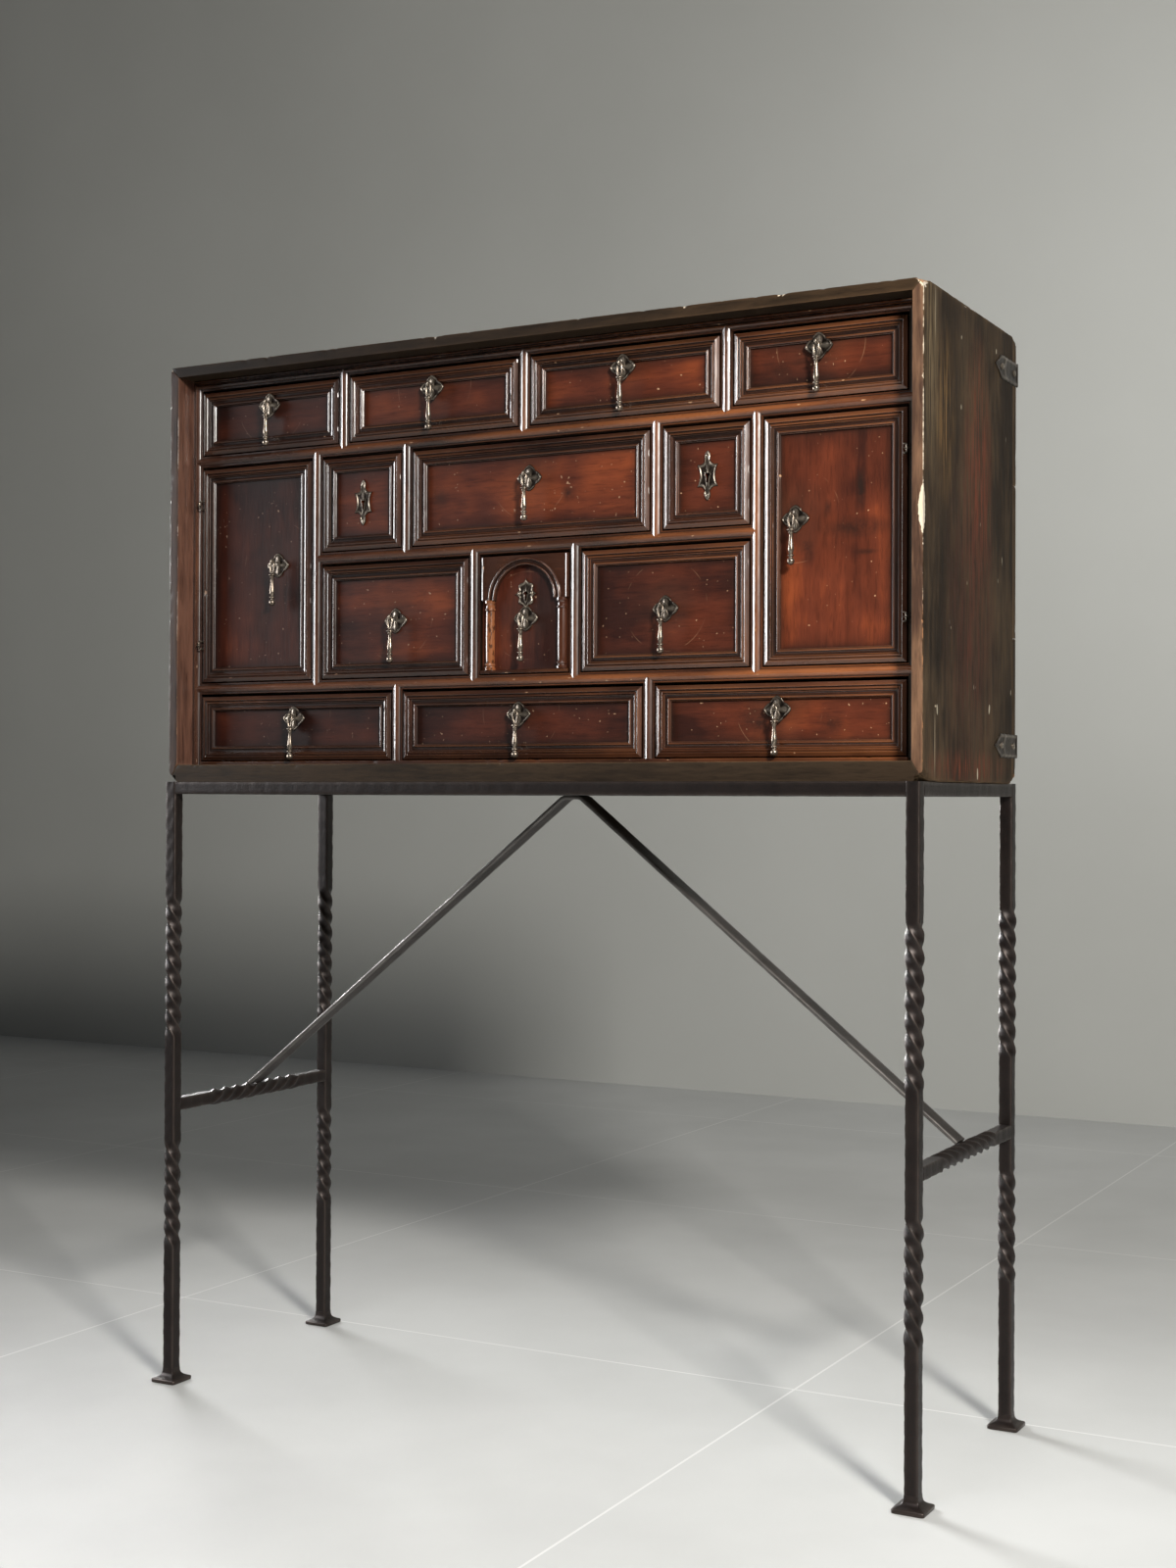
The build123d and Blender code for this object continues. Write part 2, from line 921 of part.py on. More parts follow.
sill_strip_top = arch_bottom + sill_strip_height
columns_x = [arch.middle_x - column_spacing / 2, arch.middle_x + column_spacing / 2]

with BuildPart() as spandrel:
    add(
        board(arch_left, arch_right, panel_y - spandrel_thick, panel_y, spring_z, arch_top)
    )
    with BuildSketch(front_plane(panel_y)):
        with Locations((arch.middle_x, spring_z)):
            Circle(arch_radius)
    extrude(amount=spandrel_thick, mode=Mode.SUBTRACT)

with BuildPart() as arch_ring:
    with BuildSketch(front_plane(panel_y - spandrel_thick)):
        with Locations((arch.middle_x, spring_z)):
            Circle(ring_outer)
            Circle(arch_radius, mode=Mode.SUBTRACT)
        with Locations((arch.middle_x, spring_z - ring_outer)):
            Rectangle(2 * ring_outer, 2 * ring_outer, mode=Mode.SUBTRACT)
    extrude(amount=arch_band_thick)

with BuildPart() as half_column:
    # Turned with rings at its head and foot, then split and laid flat on the panel.
    shaft_top = spring_z - capital_height
    shaft_foot = sill_strip_top + base_height
    with BuildSketch(Plane.XZ):
        with BuildLine():
            Polyline(
                (column_radius, shaft_top + ring_height),
                (column_radius, spring_z - ring_height),
                (column_ring_radius, spring_z - ring_height),
                (column_ring_radius, spring_z),
                (0, spring_z),
                (0, sill_strip_top),
                (column_ring_radius, sill_strip_top),
                (column_ring_radius, sill_strip_top + ring_height),
                (column_radius, sill_strip_top + ring_height),
                (column_radius, shaft_foot - ring_height),
            )
            ThreePointArc(
                (column_radius, shaft_foot - ring_height),
                (column_ring_radius, shaft_foot - ring_height / 2),
                (column_radius, shaft_foot),
            )
            Line((column_radius, shaft_foot), (column_radius, shaft_top))
            ThreePointArc(
                (column_radius, shaft_top),
                (column_ring_radius, shaft_top + ring_height / 2),
                (column_radius, shaft_top + ring_height),
            )
        make_face()
    revolve(axis=Axis.Z)
    split(bisect_by=Plane.XZ, keep=Keep.TOP)

write_node(
    "arch_surround",
    spandrel.part,
    arch_ring.part,
    *[Pos(x, panel_y, 0) * half_column.part for x in columns_x],
    board(
        arch_left, arch_right, panel_y - sill_strip_thick, panel_y, arch_bottom, sill_strip_top
    ),
)

# ---- Doors and their hinges ------------------------------------------------------------


def hinge_staple(x, z, inward):
    """A wire staple in a door: a pin on the hinge axis and two arms driven into the frame."""
    arm_x = x + inward * hinge_arm_offset
    bottom = z - hinge_staple_half_height
    top = z + hinge_staple_half_height
    with BuildPart() as staple:
        with BuildLine():
            FilletPolyline(
                (arm_x, shank_end, bottom),
                (arm_x, hinge_y, bottom),
                (x, hinge_y, bottom),
                (x, hinge_y, top),
                (arm_x, hinge_y, top),
                (arm_x, shank_end, top),
                radius=hinge_bend_radius,
            )
        with BuildSketch(Plane((arm_x, shank_end, bottom), z_dir=(0, -1, 0))):
            Circle(hinge_wire_radius)
        sweep()
    return staple.part


def hinge_eye(x, z, outward):
    """A wire eye round the hinge axis, with its shank driven straight back into the stile."""
    with BuildPart() as eye:
        with Locations((x, hinge_y, z)):
            Torus(hinge_eye_radius, hinge_wire_radius)
        with Locations((x + outward * hinge_eye_radius, (hinge_y + shank_end) / 2, z)):
            Cylinder(hinge_shank_radius, shank_end - hinge_y, rotation=(90, 0, 0))
    return eye.part


left_plate_x = left_door.right - left_door_plate_inset
right_plate_x = right_door.left + right_door_plate_inset
door_sides = (
    (left_door, -1, left_plate_x, left_door.middle_z + left_door_plate_rise),
    (right_door, 1, right_plate_x, right_door.middle_z + right_door_plate_rise),
)
for door, side, plate_x, plate_z in door_sides:
    arm_places = [
        (side * (hinge_x - hinge_arm_offset), height + end * hinge_staple_half_height)
        for height in hinge_heights
        for end in (-1, 1)
    ]
    arm_holes = back_holes(arm_places, hinge_y, shank_end, hinge_wire_radius)
    frame = front_frame(door)
    hinge_strip = 1 if side > 0 else 3
    frame[hinge_strip] = cut(frame[hinge_strip], arm_holes)
    write_node(door.name, front_board(door, [(plate_x, plate_z + pivot_rise)], []), *frame)
    write_node(
        f"{door.name}_ironwork",
        handle_mount(plate_x, plate_z, panel_y),
        *[hinge_staple(side * hinge_x, height, -side) for height in hinge_heights],
    )
    write_drop(f"{door.name}_handle_drop", plate_x, plate_z)

write_node(
    "door_hinge_eyes",
    *[hinge_eye(side * hinge_x, height, side) for side in (-1, 1) for height in hinge_heights],
)

# ---- Iron straps on the back corners ---------------------------------------------------

strap_heights = (case_bottom + strap_inset, case_top - strap_inset)
half_strap = strap_height / 2


def corner_strap(side, z):
    """A strap with a pointed end, bent round a back corner of the case."""
    tip = case_back - strap_side_length
    shoulder = tip + strap_point_length
    bend = case_back + strap_thick
    face = Plane((side * outer_half, 0, 0), x_dir=(0, 1, 0), z_dir=(1, 0, 0))
    with BuildPart() as strap:
        with BuildSketch(face):
            with BuildLine():
                Polyline(
                    (bend, z - half_strap),
                    (bend, z + half_strap),
                    (shoulder, z + half_strap),
                    (tip, z),
                    (shoulder, z - half_strap),
                    close=True,
                )
            make_face()
        extrude(amount=side * strap_thick)
        back_middle = side * (outer_half + strap_thick - strap_back_length / 2)
        with Locations((back_middle, case_back + strap_thick / 2, z)):
            Box(strap_back_length, strap_thick, strap_height)
    return strap.part


with BuildPart() as nail_head:
    with BuildSketch():
        Circle(nail_radius)
    extrude(amount=nail_rise)
    chamfer(nail_head.faces().sort_by(Axis.Z)[-1].edges(), nail_rise / 2)


def strap_nails(side, z):
    """The heads of a strap's nails, two on the side of the case and one on the back."""
    side_face = Plane(
        (side * (outer_half + strap_thick), 0, z), x_dir=(0, 1, 0), z_dir=(side, 0, 0)
    )
    back_face = Plane((0, case_back + strap_thick, z), x_dir=(1, 0, 0), z_dir=(0, 1, 0))
    near = case_back - half_strap
    far = case_back - strap_side_length + strap_point_length
    on_back = side * (outer_half - strap_back_length / 2)
    return [
        side_face * Pos(near, 0) * nail_head.part,
        side_face * Pos(far, 0) * nail_head.part,
        back_face * Pos(on_back, 0) * nail_head.part,
    ]


write_node(
    "corner_straps",
    *[corner_strap(side, z) for side in (-1, 1) for z in strap_heights],
    *[nail for side in (-1, 1) for z in strap_heights for nail in strap_nails(side, z)],
)

# ---- Stand -----------------------------------------------------------------------------

half_bar = bar_size / 2
leg_x = outer_half - leg_side_inset - half_bar
leg_y = case_depth / 2 + leg_front_overhang - half_bar
frame_foot = stand_height - bar_size
leg_places = [(x, y) for x in (-leg_x, leg_x) for y in (-leg_y, leg_y)]


def straight_bar(bottom, top):
    """A square bar on the Z axis."""
    return board(-half_bar, half_bar, -half_bar, half_bar, bottom, top)


def twisted_bar(bottom, quarters, turn_length, hand):
    """A square bar on the Z axis, twisted by a quarter turn in each turn_length."""
    with BuildSketch(Plane.XY.offset(bottom)) as section:
        Rectangle(bar_size, bar_size)
    return Solid.extrude_linear_with_rotation(
        section.sketch.face(), (0, 0, bottom), (0, 0, quarters * turn_length), hand * 90 * quarters
    )


upper_twist_top = upper_twist_bottom + upper_twist_quarters * quarter_turn
lower_twist_top = lower_twist_bottom + lower_twist_quarters * quarter_turn
with BuildPart() as leg:
    add(straight_bar(foot_height, lower_twist_bottom))
    add(twisted_bar(lower_twist_bottom, lower_twist_quarters, quarter_turn, -1))
    add(straight_bar(lower_twist_top, upper_twist_bottom))
    add(twisted_bar(upper_twist_bottom, upper_twist_quarters, quarter_turn, -1))
    add(straight_bar(upper_twist_top, stand_height))

with BuildPart() as foot:
    with BuildSketch():
        Rectangle(foot_size, foot_size)
    extrude(amount=foot_edge)
    with BuildSketch(Plane.XY.offset(foot_edge)):
        Rectangle(foot_size, foot_size)
    with BuildSketch(Plane.XY.offset(foot_height)):
        Rectangle(bar_size, bar_size)
    loft()

write_node("stand_legs", *[Pos(x, y, 0) * leg.part for x, y in leg_places])
write_node("stand_feet", *[Pos(x, y, 0) * foot.part for x, y in leg_places])

between_x = leg_x - half_bar
between_y = leg_y - half_bar
write_node(
    "stand_top_frame",
    *[
        board(-between_x, between_x, y - half_bar, y + half_bar, frame_foot, stand_height)
        for y in (-leg_y, leg_y)
    ],
    *[
        board(x - half_bar, x + half_bar, -between_y, between_y, frame_foot, stand_height)
        for x in (-leg_x, leg_x)
    ],
    board(
        -cross_bar_width / 2,
        cross_bar_width / 2,
        -between_y,
        between_y,
        frame_foot,
        frame_foot + cross_bar_thick,
    ),
)

# The stretchers are drawn upright on the Z axis, then laid down along Y.
half_twist = stretcher_quarters * stretcher_quarter_turn / 2


def stretcher(side):
    """The bar between the legs of one side, twisted in the middle of its length."""
    with BuildPart() as bar:
        add(straight_bar(-between_y, -half_twist))
        add(twisted_bar(-half_twist, stretcher_quarters, stretcher_quarter_turn, side))
        add(straight_bar(half_twist, between_y))
    return Pos(side * leg_x, 0, stretcher_height) * Rot(-90, 0, 0) * bar.part


write_node("stand_stretchers", stretcher(-1), stretcher(1))


def brace(side):
    """A flat bar from a tab under the cross bar down to the middle of a stretcher."""
    half = brace_thick / 2
    bend_z = frame_foot - half
    end_x = leg_x - brace_landing
    end_z = stretcher_height + half_bar + half
    slope = atan2(bend_z - end_z, end_x - brace_tab)
    bend_shift = half * tan(slope / 2)
    across_x = half * sin(slope)
    across_z = half * cos(slope)
    outline = [
        (0, bend_z + half),
        (brace_tab + bend_shift, bend_z + half),
        (end_x + across_x, end_z + across_z),
        (end_x - across_x, end_z - across_z),
        (brace_tab - bend_shift, bend_z - half),
        (0, bend_z - half),
    ]
    mirrored = [(side * x, z) for x, z in outline]
    return outline_prism(mirrored, brace_width / 2, -brace_width / 2)


write_node("stand_braces", brace(-1), brace(1))
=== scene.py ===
"""Looks of the vargueno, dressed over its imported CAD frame.

The pieces are worked out in millimetres, in the frame's own axes: X along the front, Y from
front to back, Z up. make_piece turns them into metres.
"""

import json
import math

import bmesh
import bpy
import numpy as np
from mathutils import Matrix, Vector


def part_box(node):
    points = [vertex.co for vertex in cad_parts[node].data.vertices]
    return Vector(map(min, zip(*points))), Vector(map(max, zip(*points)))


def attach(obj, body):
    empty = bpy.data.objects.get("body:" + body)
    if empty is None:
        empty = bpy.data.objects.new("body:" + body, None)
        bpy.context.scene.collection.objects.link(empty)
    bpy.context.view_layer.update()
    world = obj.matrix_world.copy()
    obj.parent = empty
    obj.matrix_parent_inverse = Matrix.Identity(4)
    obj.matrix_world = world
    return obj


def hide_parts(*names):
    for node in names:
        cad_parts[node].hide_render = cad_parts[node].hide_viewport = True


MM = 0.001
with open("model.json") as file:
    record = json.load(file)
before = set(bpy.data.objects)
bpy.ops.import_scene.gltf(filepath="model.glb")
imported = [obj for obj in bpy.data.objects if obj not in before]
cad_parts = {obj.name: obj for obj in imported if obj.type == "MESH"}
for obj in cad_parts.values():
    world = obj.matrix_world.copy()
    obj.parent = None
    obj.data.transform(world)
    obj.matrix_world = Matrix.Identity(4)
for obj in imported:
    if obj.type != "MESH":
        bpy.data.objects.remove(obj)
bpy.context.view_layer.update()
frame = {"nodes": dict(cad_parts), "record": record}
NODES = frame["nodes"]
BODY_OF = {
    node: body
    for body, nodes in frame["record"]["behaviour"]["bodies"].items()
    for node in nodes
}

# ---- Sizes shared with the frame, in millimetres ---------------------------------------

X, Y, Z = np.eye(3)
CASE_FRONT, CASE_BACK = -169.0, 169.0
CASE_MIDDLE = 1050.0
MOULDING_BACK = -133.0
MOULDING_WIDTH = 14.5
FACE_Y = -140.0
PANEL_Y = -132.5
FRONT_BACK_Y = -120.5
FRAME_WIDTH = 18.5
FRONT_LIFT = 1.1
BOX_WALL = 8.0
BOX_FLOOR = 6.0
PLATE_RISE = 3.5
PLATE_THICK = 1.6
LOOP_OVER = 1.25
PIVOT_Y = -146.0
HINGE_X, HINGE_Y = 486.9, -143.8
LOCK_HALF = np.array([22.0, 15.0])
KEYHOLE_HALF = np.array([2.6, 10.0])
NO_ARC = 1000.0


def node_box(node):
    """The lowest and highest corner of a CAD node, in millimetres."""
    low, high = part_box(node)
    return np.array(low) / MM, np.array(high) / MM


# ---- Mesh helpers ----------------------------------------------------------------------


def node_middle(node):
    """The middle of a CAD node, across and up."""
    low, high = node_box(node)
    return ((low + high) / 2)[[0, 2]]


class Mesh:
    """Vertices, faces, material slots and marks of one piece, gathered part by part."""

    def __init__(self):
        self.points = []
        self.faces = []
        self.slots = []
        self.marks = []
        self.count = 0

    def add(self, points, faces, slot=0, wear=0.0, grime_and_shade=0.0, chip=0.0, tone=0.0, arc=NO_ARC):
        """Adds a part. Its points may be a grid, and its marks are numbers or fit that grid."""
        grid = points.shape[:-1]
        marks = [np.broadcast_to(mark, grid).ravel() for mark in (wear, grime_and_shade, chip, tone, arc)]
        self.points.append(points.reshape(-1, 3))
        self.marks.append(np.stack(marks, axis=1).astype(float))
        self.faces.extend(tuple(self.count + i for i in face) for face in faces)
        self.slots.extend(np.broadcast_to(slot, len(faces)).tolist())
        self.count += math.prod(grid)


MARKS = ("wear", "grime_and_shade", "chip", "tone", "arc")


def add_object(name, data):
    """A new object in the scene."""
    thing = bpy.data.objects.new(name, data)
    bpy.context.scene.collection.objects.link(thing)
    return thing


def make_piece(node, mesh, materials, smooth_angle=35.0):
    """The dressed piece that replaces a CAD node, riding on the node's body."""
    name = f"{node}_dressed"
    data = bpy.data.meshes.new(name)
    data.from_pydata((np.concatenate(mesh.points) * MM).tolist(), [], mesh.faces)
    for material in materials:
        data.materials.append(material)
    data.polygons.foreach_set("material_index", mesh.slots)
    for mark, values in zip(MARKS, np.concatenate(mesh.marks).T):
        layer = data.attributes.new(mark, "FLOAT", "POINT")
        layer.data.foreach_set("value", np.ascontiguousarray(values))
    work = bmesh.new()
    work.from_mesh(data)
    bmesh.ops.recalc_face_normals(work, faces=work.faces)
    work.to_mesh(data)
    work.free()
    data.shade_smooth()
    data.set_sharp_from_angle(angle=math.radians(smooth_angle))
    piece = add_object(name, data)
    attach(piece, BODY_OF[node])
    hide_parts(node)


def tube_faces(rings, count, caps=True, closed=False):
    """Quads round a stack of rings, with a cap at each end or with the last ring on the first."""
    faces = []
    for ring in range(rings if closed else rings - 1):
        low, high = ring * count, (ring + 1) % rings * count
        for i in range(count):
            j = (i + 1) % count
            faces.append((low + i, low + j, high + j, high + i))
    if caps and not closed:
        faces.append(tuple(range(count))[::-1])
        faces.append(tuple(range((rings - 1) * count, rings * count)))
    return faces


def unit(vectors):
    """Vectors of length one."""
    return vectors / np.linalg.norm(vectors, axis=-1, keepdims=True)


def placed(origin, *steps):
    """The points reached from an origin by steps of (distances, direction)."""
    points = np.asarray(origin, float)
    for distances, direction in steps:
        points = points + distances[..., None] * direction
    return points


def circle(centre, u, v, radius, count):
    """Points round a place, in the plane of the directions u and v."""
    turn = np.linspace(0, 2 * math.pi, count, endpoint=False)
    return placed(centre, (radius * np.cos(turn), u), (radius * np.sin(turn), v))


def ripple(rng, s, a, size, wavelength):
    """A smooth random unevenness over a surface with coordinates s and a."""
    total = np.zeros(np.broadcast(s, a).shape)
    for octave in (1.0, 0.43, 0.19):
        phase, slant = rng.uniform(0, 2 * math.pi), rng.uniform(-0.6, 0.6)
        total = total + octave * np.sin(
            2 * math.pi * (s + slant * a) / (wavelength * octave) + phase
        )
    return size * total / 1.6


def strip(mesh, rng, origin, along, across, outline, start, end, slot=0, step=3.0, wobble=0.07,
          nicks=2.0, depth=0.5):
    """A worn strip: an outline of (across, out, wear, grime and painted shade) points run along its length.

    Out is towards the front. start and end give, for a distance across, where the strip begins
    and ends along.
    """
    a, d, wear, grime_and_shade = np.array(outline, float).T
    first, last = start(a), end(a)
    rings = max(3, int((last - first).max() / step) + 2)
    s = first + (last - first) * np.linspace(0, 1, rings)[:, None]
    tangent = unit(np.stack([np.roll(a, -1) - np.roll(a, 1), np.roll(d, -1) - np.roll(d, 1)], axis=1))
    area = 0.5 * np.sum(a * np.roll(d, -1) - np.roll(a, -1) * d)
    normal = np.stack([tangent[:, 1], -tangent[:, 0]], axis=1) * np.sign(area)
    shift = ripple(rng, s, 3 * a, wobble, 47.0) * (0.3 + 0.7 * wear)
    chip = np.zeros_like(s)
    length = float(np.median(last - first))
    crest = np.flatnonzero(wear > 0.6)
    for _ in range(rng.poisson(nicks * length / 300)):
        place = rng.uniform(0, length) + first.min()
        at = a[rng.choice(crest)]
        size, sink = rng.uniform(1.0, 3.2), depth * rng.uniform(0.3, 1.0)
        dent = np.exp(-((s - place) / size) ** 2) * np.exp(-((a - at) / 1.1) ** 2)
        shift = shift - sink * dent
        chip = np.maximum(chip, dent * (sink > 0.7 * depth))
    shift = np.where(d > 0.5, shift, 0.0)
    points = placed(origin, (s, along), (a + shift * normal[:, 0], across), (d + shift * normal[:, 1], -Y))
    mesh.add(points, tube_faces(rings, len(a)), slot, wear, grime_and_shade, chip, rng.uniform(0, 1))


def arc_points(x0, z0, x1, z1, rise, count, wear=(0.3, 1.0), grime_and_shade=0.0):
    """Points of a bow between two places, with its wear growing to the crest."""
    rows = []
    for i in range(count):
        t = (i + 0.5) / count
        lift = math.sin(math.pi * t)
        rows.append(
            (x0 + (x1 - x0) * (0.5 - 0.5 * math.cos(math.pi * t)), z0 + (z1 - z0) * t + rise * lift,
             wear[0] + (wear[1] - wear[0]) * lift ** 2, grime_and_shade * (1 - lift))
        )
    return rows


PLAIN_STEPS = (2.0, 4.5, 8.0)
ARRIS_STEPS = (0.9, 1.9, 3.1, 4.6, 6.4, 8.8)


def graded(low, high, soft, step, edges):
    """Places from low to high, close together near both ends."""
    inner = [low + soft + v for v in edges if 2 * (soft + v) < high - low]
    outer = [low + high - v for v in inner]
    first, last = (inner[-1], outer[-1]) if inner else (low + soft, high - soft)
    middle = np.linspace(first, last, max(2, int((last - first) / step) + 1))
    return np.unique(np.round([low, low + soft, *inner, *middle, *outer, high - soft, high], 4))


def ruled_box(lines, hole, slot, face_slots):
    """The points, faces and slots of a box that is ruled at the places of three lines."""
    last = [len(line) - 1 for line in lines]
    points, faces, slots, index = [], [], [], {}

    def corner(*key):
        if key not in index:
            index[key] = len(points)
            points.append([line[place] for line, place in zip(lines, key)])
        return index[key]

    def face(axis, fixed, i, j, face_slot):
        loop = []
        for a, b in ((i, j), (i + 1, j), (i + 1, j + 1), (i, j + 1)):
            key = [a, b]
            key.insert(axis, fixed)
            loop.append(corner(*key))
        faces.append(tuple(loop))
        slots.append(face_slot)

    def in_hole(i, k):
        x, z = lines[0][i] + lines[0][i + 1], lines[2][k] + lines[2][k + 1]
        return hole and hole[0] <= x / 2 <= hole[1] and hole[2] <= z / 2 <= hole[3]

    for axis in range(3):
        a, b = [k for k in range(3) if k != axis]
        for fixed in (0, last[axis]):
            plain = face_slots.get((axis, int(fixed > 0)), slot)
            for i in range(last[a]):
                for j in range(last[b]):
                    if axis != 1 or not in_hole(i, j):
                        face(axis, fixed, i, j, plain)
    if hole:
        span_x = [int(np.searchsorted(lines[0], v)) for v in hole[:2]]
        span_z = [int(np.searchsorted(lines[2], v)) for v in hole[2:]]
        for j in range(last[1]):
            for fixed in span_x:
                for k in range(*span_z):
                    face(0, fixed, j, k, slot)
            for fixed in span_z:
                for i in range(*span_x):
                    face(2, fixed, i, j, slot)
    return np.array(points), faces, slots


def slab(mesh, rng, low, high, slot=0, step=12.0, soft=0.8, nicks=0.0, hole=None, pivot=None,
         shape=None, cuts=(), bare=None, face_slots=None, along=None, border=None):
    """A board with rounded, worn arrises, closed all round.

    hole is (x0, x1, z0, z1), cut through along Y, and pivot is the place that a drop turns round.
    shape moves the points to their places, cuts wear corners away, and bare says where the wood is
    rubbed to its pale body. face_slots gives the slot of a face by its axis and side, along is the
    axis of a board that is ruled finely, and border is the width that a frame covers.
    """
    low, high = np.asarray(low, float), np.asarray(high, float)
    steps = PLAIN_STEPS if along is None else ARRIS_STEPS
    lines = [graded(low[axis], high[axis], soft, step, steps) for axis in range(3)]
    if along is not None:
        count = int((high[along] - low[along]) / 2.6)
        fine = np.linspace(low[along] + soft, high[along] - soft, count)
        lines[along] = np.concatenate([[low[along]], fine, [high[along]]])
    if hole:
        lines[0] = np.unique(np.concatenate([lines[0], hole[:2]]))
        lines[2] = np.unique(np.concatenate([lines[2], hole[2:]]))
    points, faces, slots = ruled_box(lines, hole, slot, face_slots or {})
    near_face = np.minimum(points - low, high - points)
    edge = np.sort(near_face, axis=1)[:, 1]
    on_face = near_face < 1e-6
    on_edge = on_face.sum(axis=1) >= 2
    inward = np.sign((low + high) / 2 - points) * on_face
    rough = 1 + 0.5 * ripple(rng, points.sum(axis=1), points[:, 0], 1.0, 31.0)
    points = points + inward * (on_edge * soft * 0.45 * rough)[:, None]
    chip = np.zeros(len(points))
    rim = np.flatnonzero(on_edge)
    deepest = 1.2
    for _ in range(rng.poisson(nicks)):
        place = points[rng.choice(rim)]
        size, sink = rng.uniform(1.5, 4.0), deepest * rng.uniform(0.3, 1.0)
        dent = np.exp(-np.sum((points - place) ** 2, axis=1) / size**2)
        points = points + inward * (sink * dent)[:, None]
        chip = np.maximum(chip, 0.75 * dent * (sink > 0.8 * deepest))
    if shape is not None:
        points = shape(points)
    for place, size, reach, pale in cuts:
        gap = np.abs(points - place)
        limit = size * np.exp(-((gap[:, 1] / reach) ** 2))
        limit = limit * (1 + 0.25 * ripple(rng, points[:, 1], points[:, 0] + points[:, 2], 1.0, 9.0))
        excess = np.maximum(limit - gap[:, 0] - gap[:, 2], 0)
        points[:, 0] -= np.sign(place[0]) * excess / 2
        points[:, 2] += np.sign(CASE_MIDDLE - place[2]) * excess / 2
        chip = np.maximum(chip, pale * (excess > 0.6))
    if bare is not None:
        rubbed = bare(points)
        chip = np.maximum(chip, rubbed)
        points = points + inward * (0.7 * rubbed)[:, None]
    arc, grime_and_shade = NO_ARC, 0.0
    if pivot is not None:
        arc = np.hypot(points[:, 0] - pivot[0], points[:, 2] - pivot[1])
    # Painted shade: a panel is painted darker within a few millimetres of the frame that covers its border.
    if border is not None:
        inner = np.minimum(near_face[:, 0], near_face[:, 2]) - border
        grime_and_shade = 0.75 * np.exp(-np.clip(inner, 0, None) / 7.0)
    mesh.add(points, faces, slots, 0.8 * np.exp(-edge / 1.5), grime_and_shade, chip, rng.uniform(0, 1), arc)


def lathe(mesh, profile, place, segments, axes=(X, Y, Z), slot=0, wear=0.5, tone=0.0, half=False,
          rng=None, uneven=0.0):
    """Turned work from (radius, height) points, round the last of three axes through place."""
    turn, first = (math.pi, math.pi) if half else (2 * math.pi, 0.0)
    angles = first + turn * np.arange(segments + half) / segments
    radius, height = np.array(profile, float).T[..., None]
    grow = 1.0
    if rng is not None:
        grow = 1 + ripple(rng, height, angles * 2, uneven, 9.0)
    reach = radius * grow
    points = placed(place, (reach * np.cos(angles), axes[0]), (reach * np.sin(angles), axes[1]),
                    (height, axes[2]))
    mesh.add(points, tube_faces(*points.shape[:2]), slot, wear, tone=tone)


def wire(mesh, path, radii, sides, wear, up, closed=False):
    """A round wire along a path, with one radius or a radius for each point."""
    path = np.asarray(path, float)
    radii = np.broadcast_to(radii, len(path))
    if closed:
        tangent = unit(np.roll(path, -1, axis=0) - np.roll(path, 1, axis=0))
    else:
        tangent = unit(np.gradient(path, axis=0))
    side = unit(np.cross(tangent, up))[:, None]
    other = np.cross(tangent[:, None], side)
    angles = 2 * math.pi * np.arange(sides)[:, None] / sides
    points = path[:, None] + radii[:, None, None] * (np.cos(angles) * side + np.sin(angles) * other)
    mesh.add(points, tube_faces(len(path), sides, closed=closed), wear=wear)


def smooth_path(points, count):
    """A curve through given points, as count even places along a Catmull-Rom spline."""
    p = np.asarray(points, float)
    p = np.concatenate([[2 * p[0] - p[1]], p, [2 * p[-1] - p[-2]]])
    spans = len(p) - 3
    out = []
    for u in np.linspace(0, spans - 1e-6, count):
        i, t = int(u), u - int(u)
        a, b, c, d = p[i], p[i + 1], p[i + 2], p[i + 3]
        out.append(0.5 * (2 * b + (c - a) * t + (2 * a - 5 * b + 4 * c - d) * t**2
                          + (3 * b - a - 3 * c + d) * t**3))
    return np.array(out)


# ---- Materials -------------------------------------------------------------------------


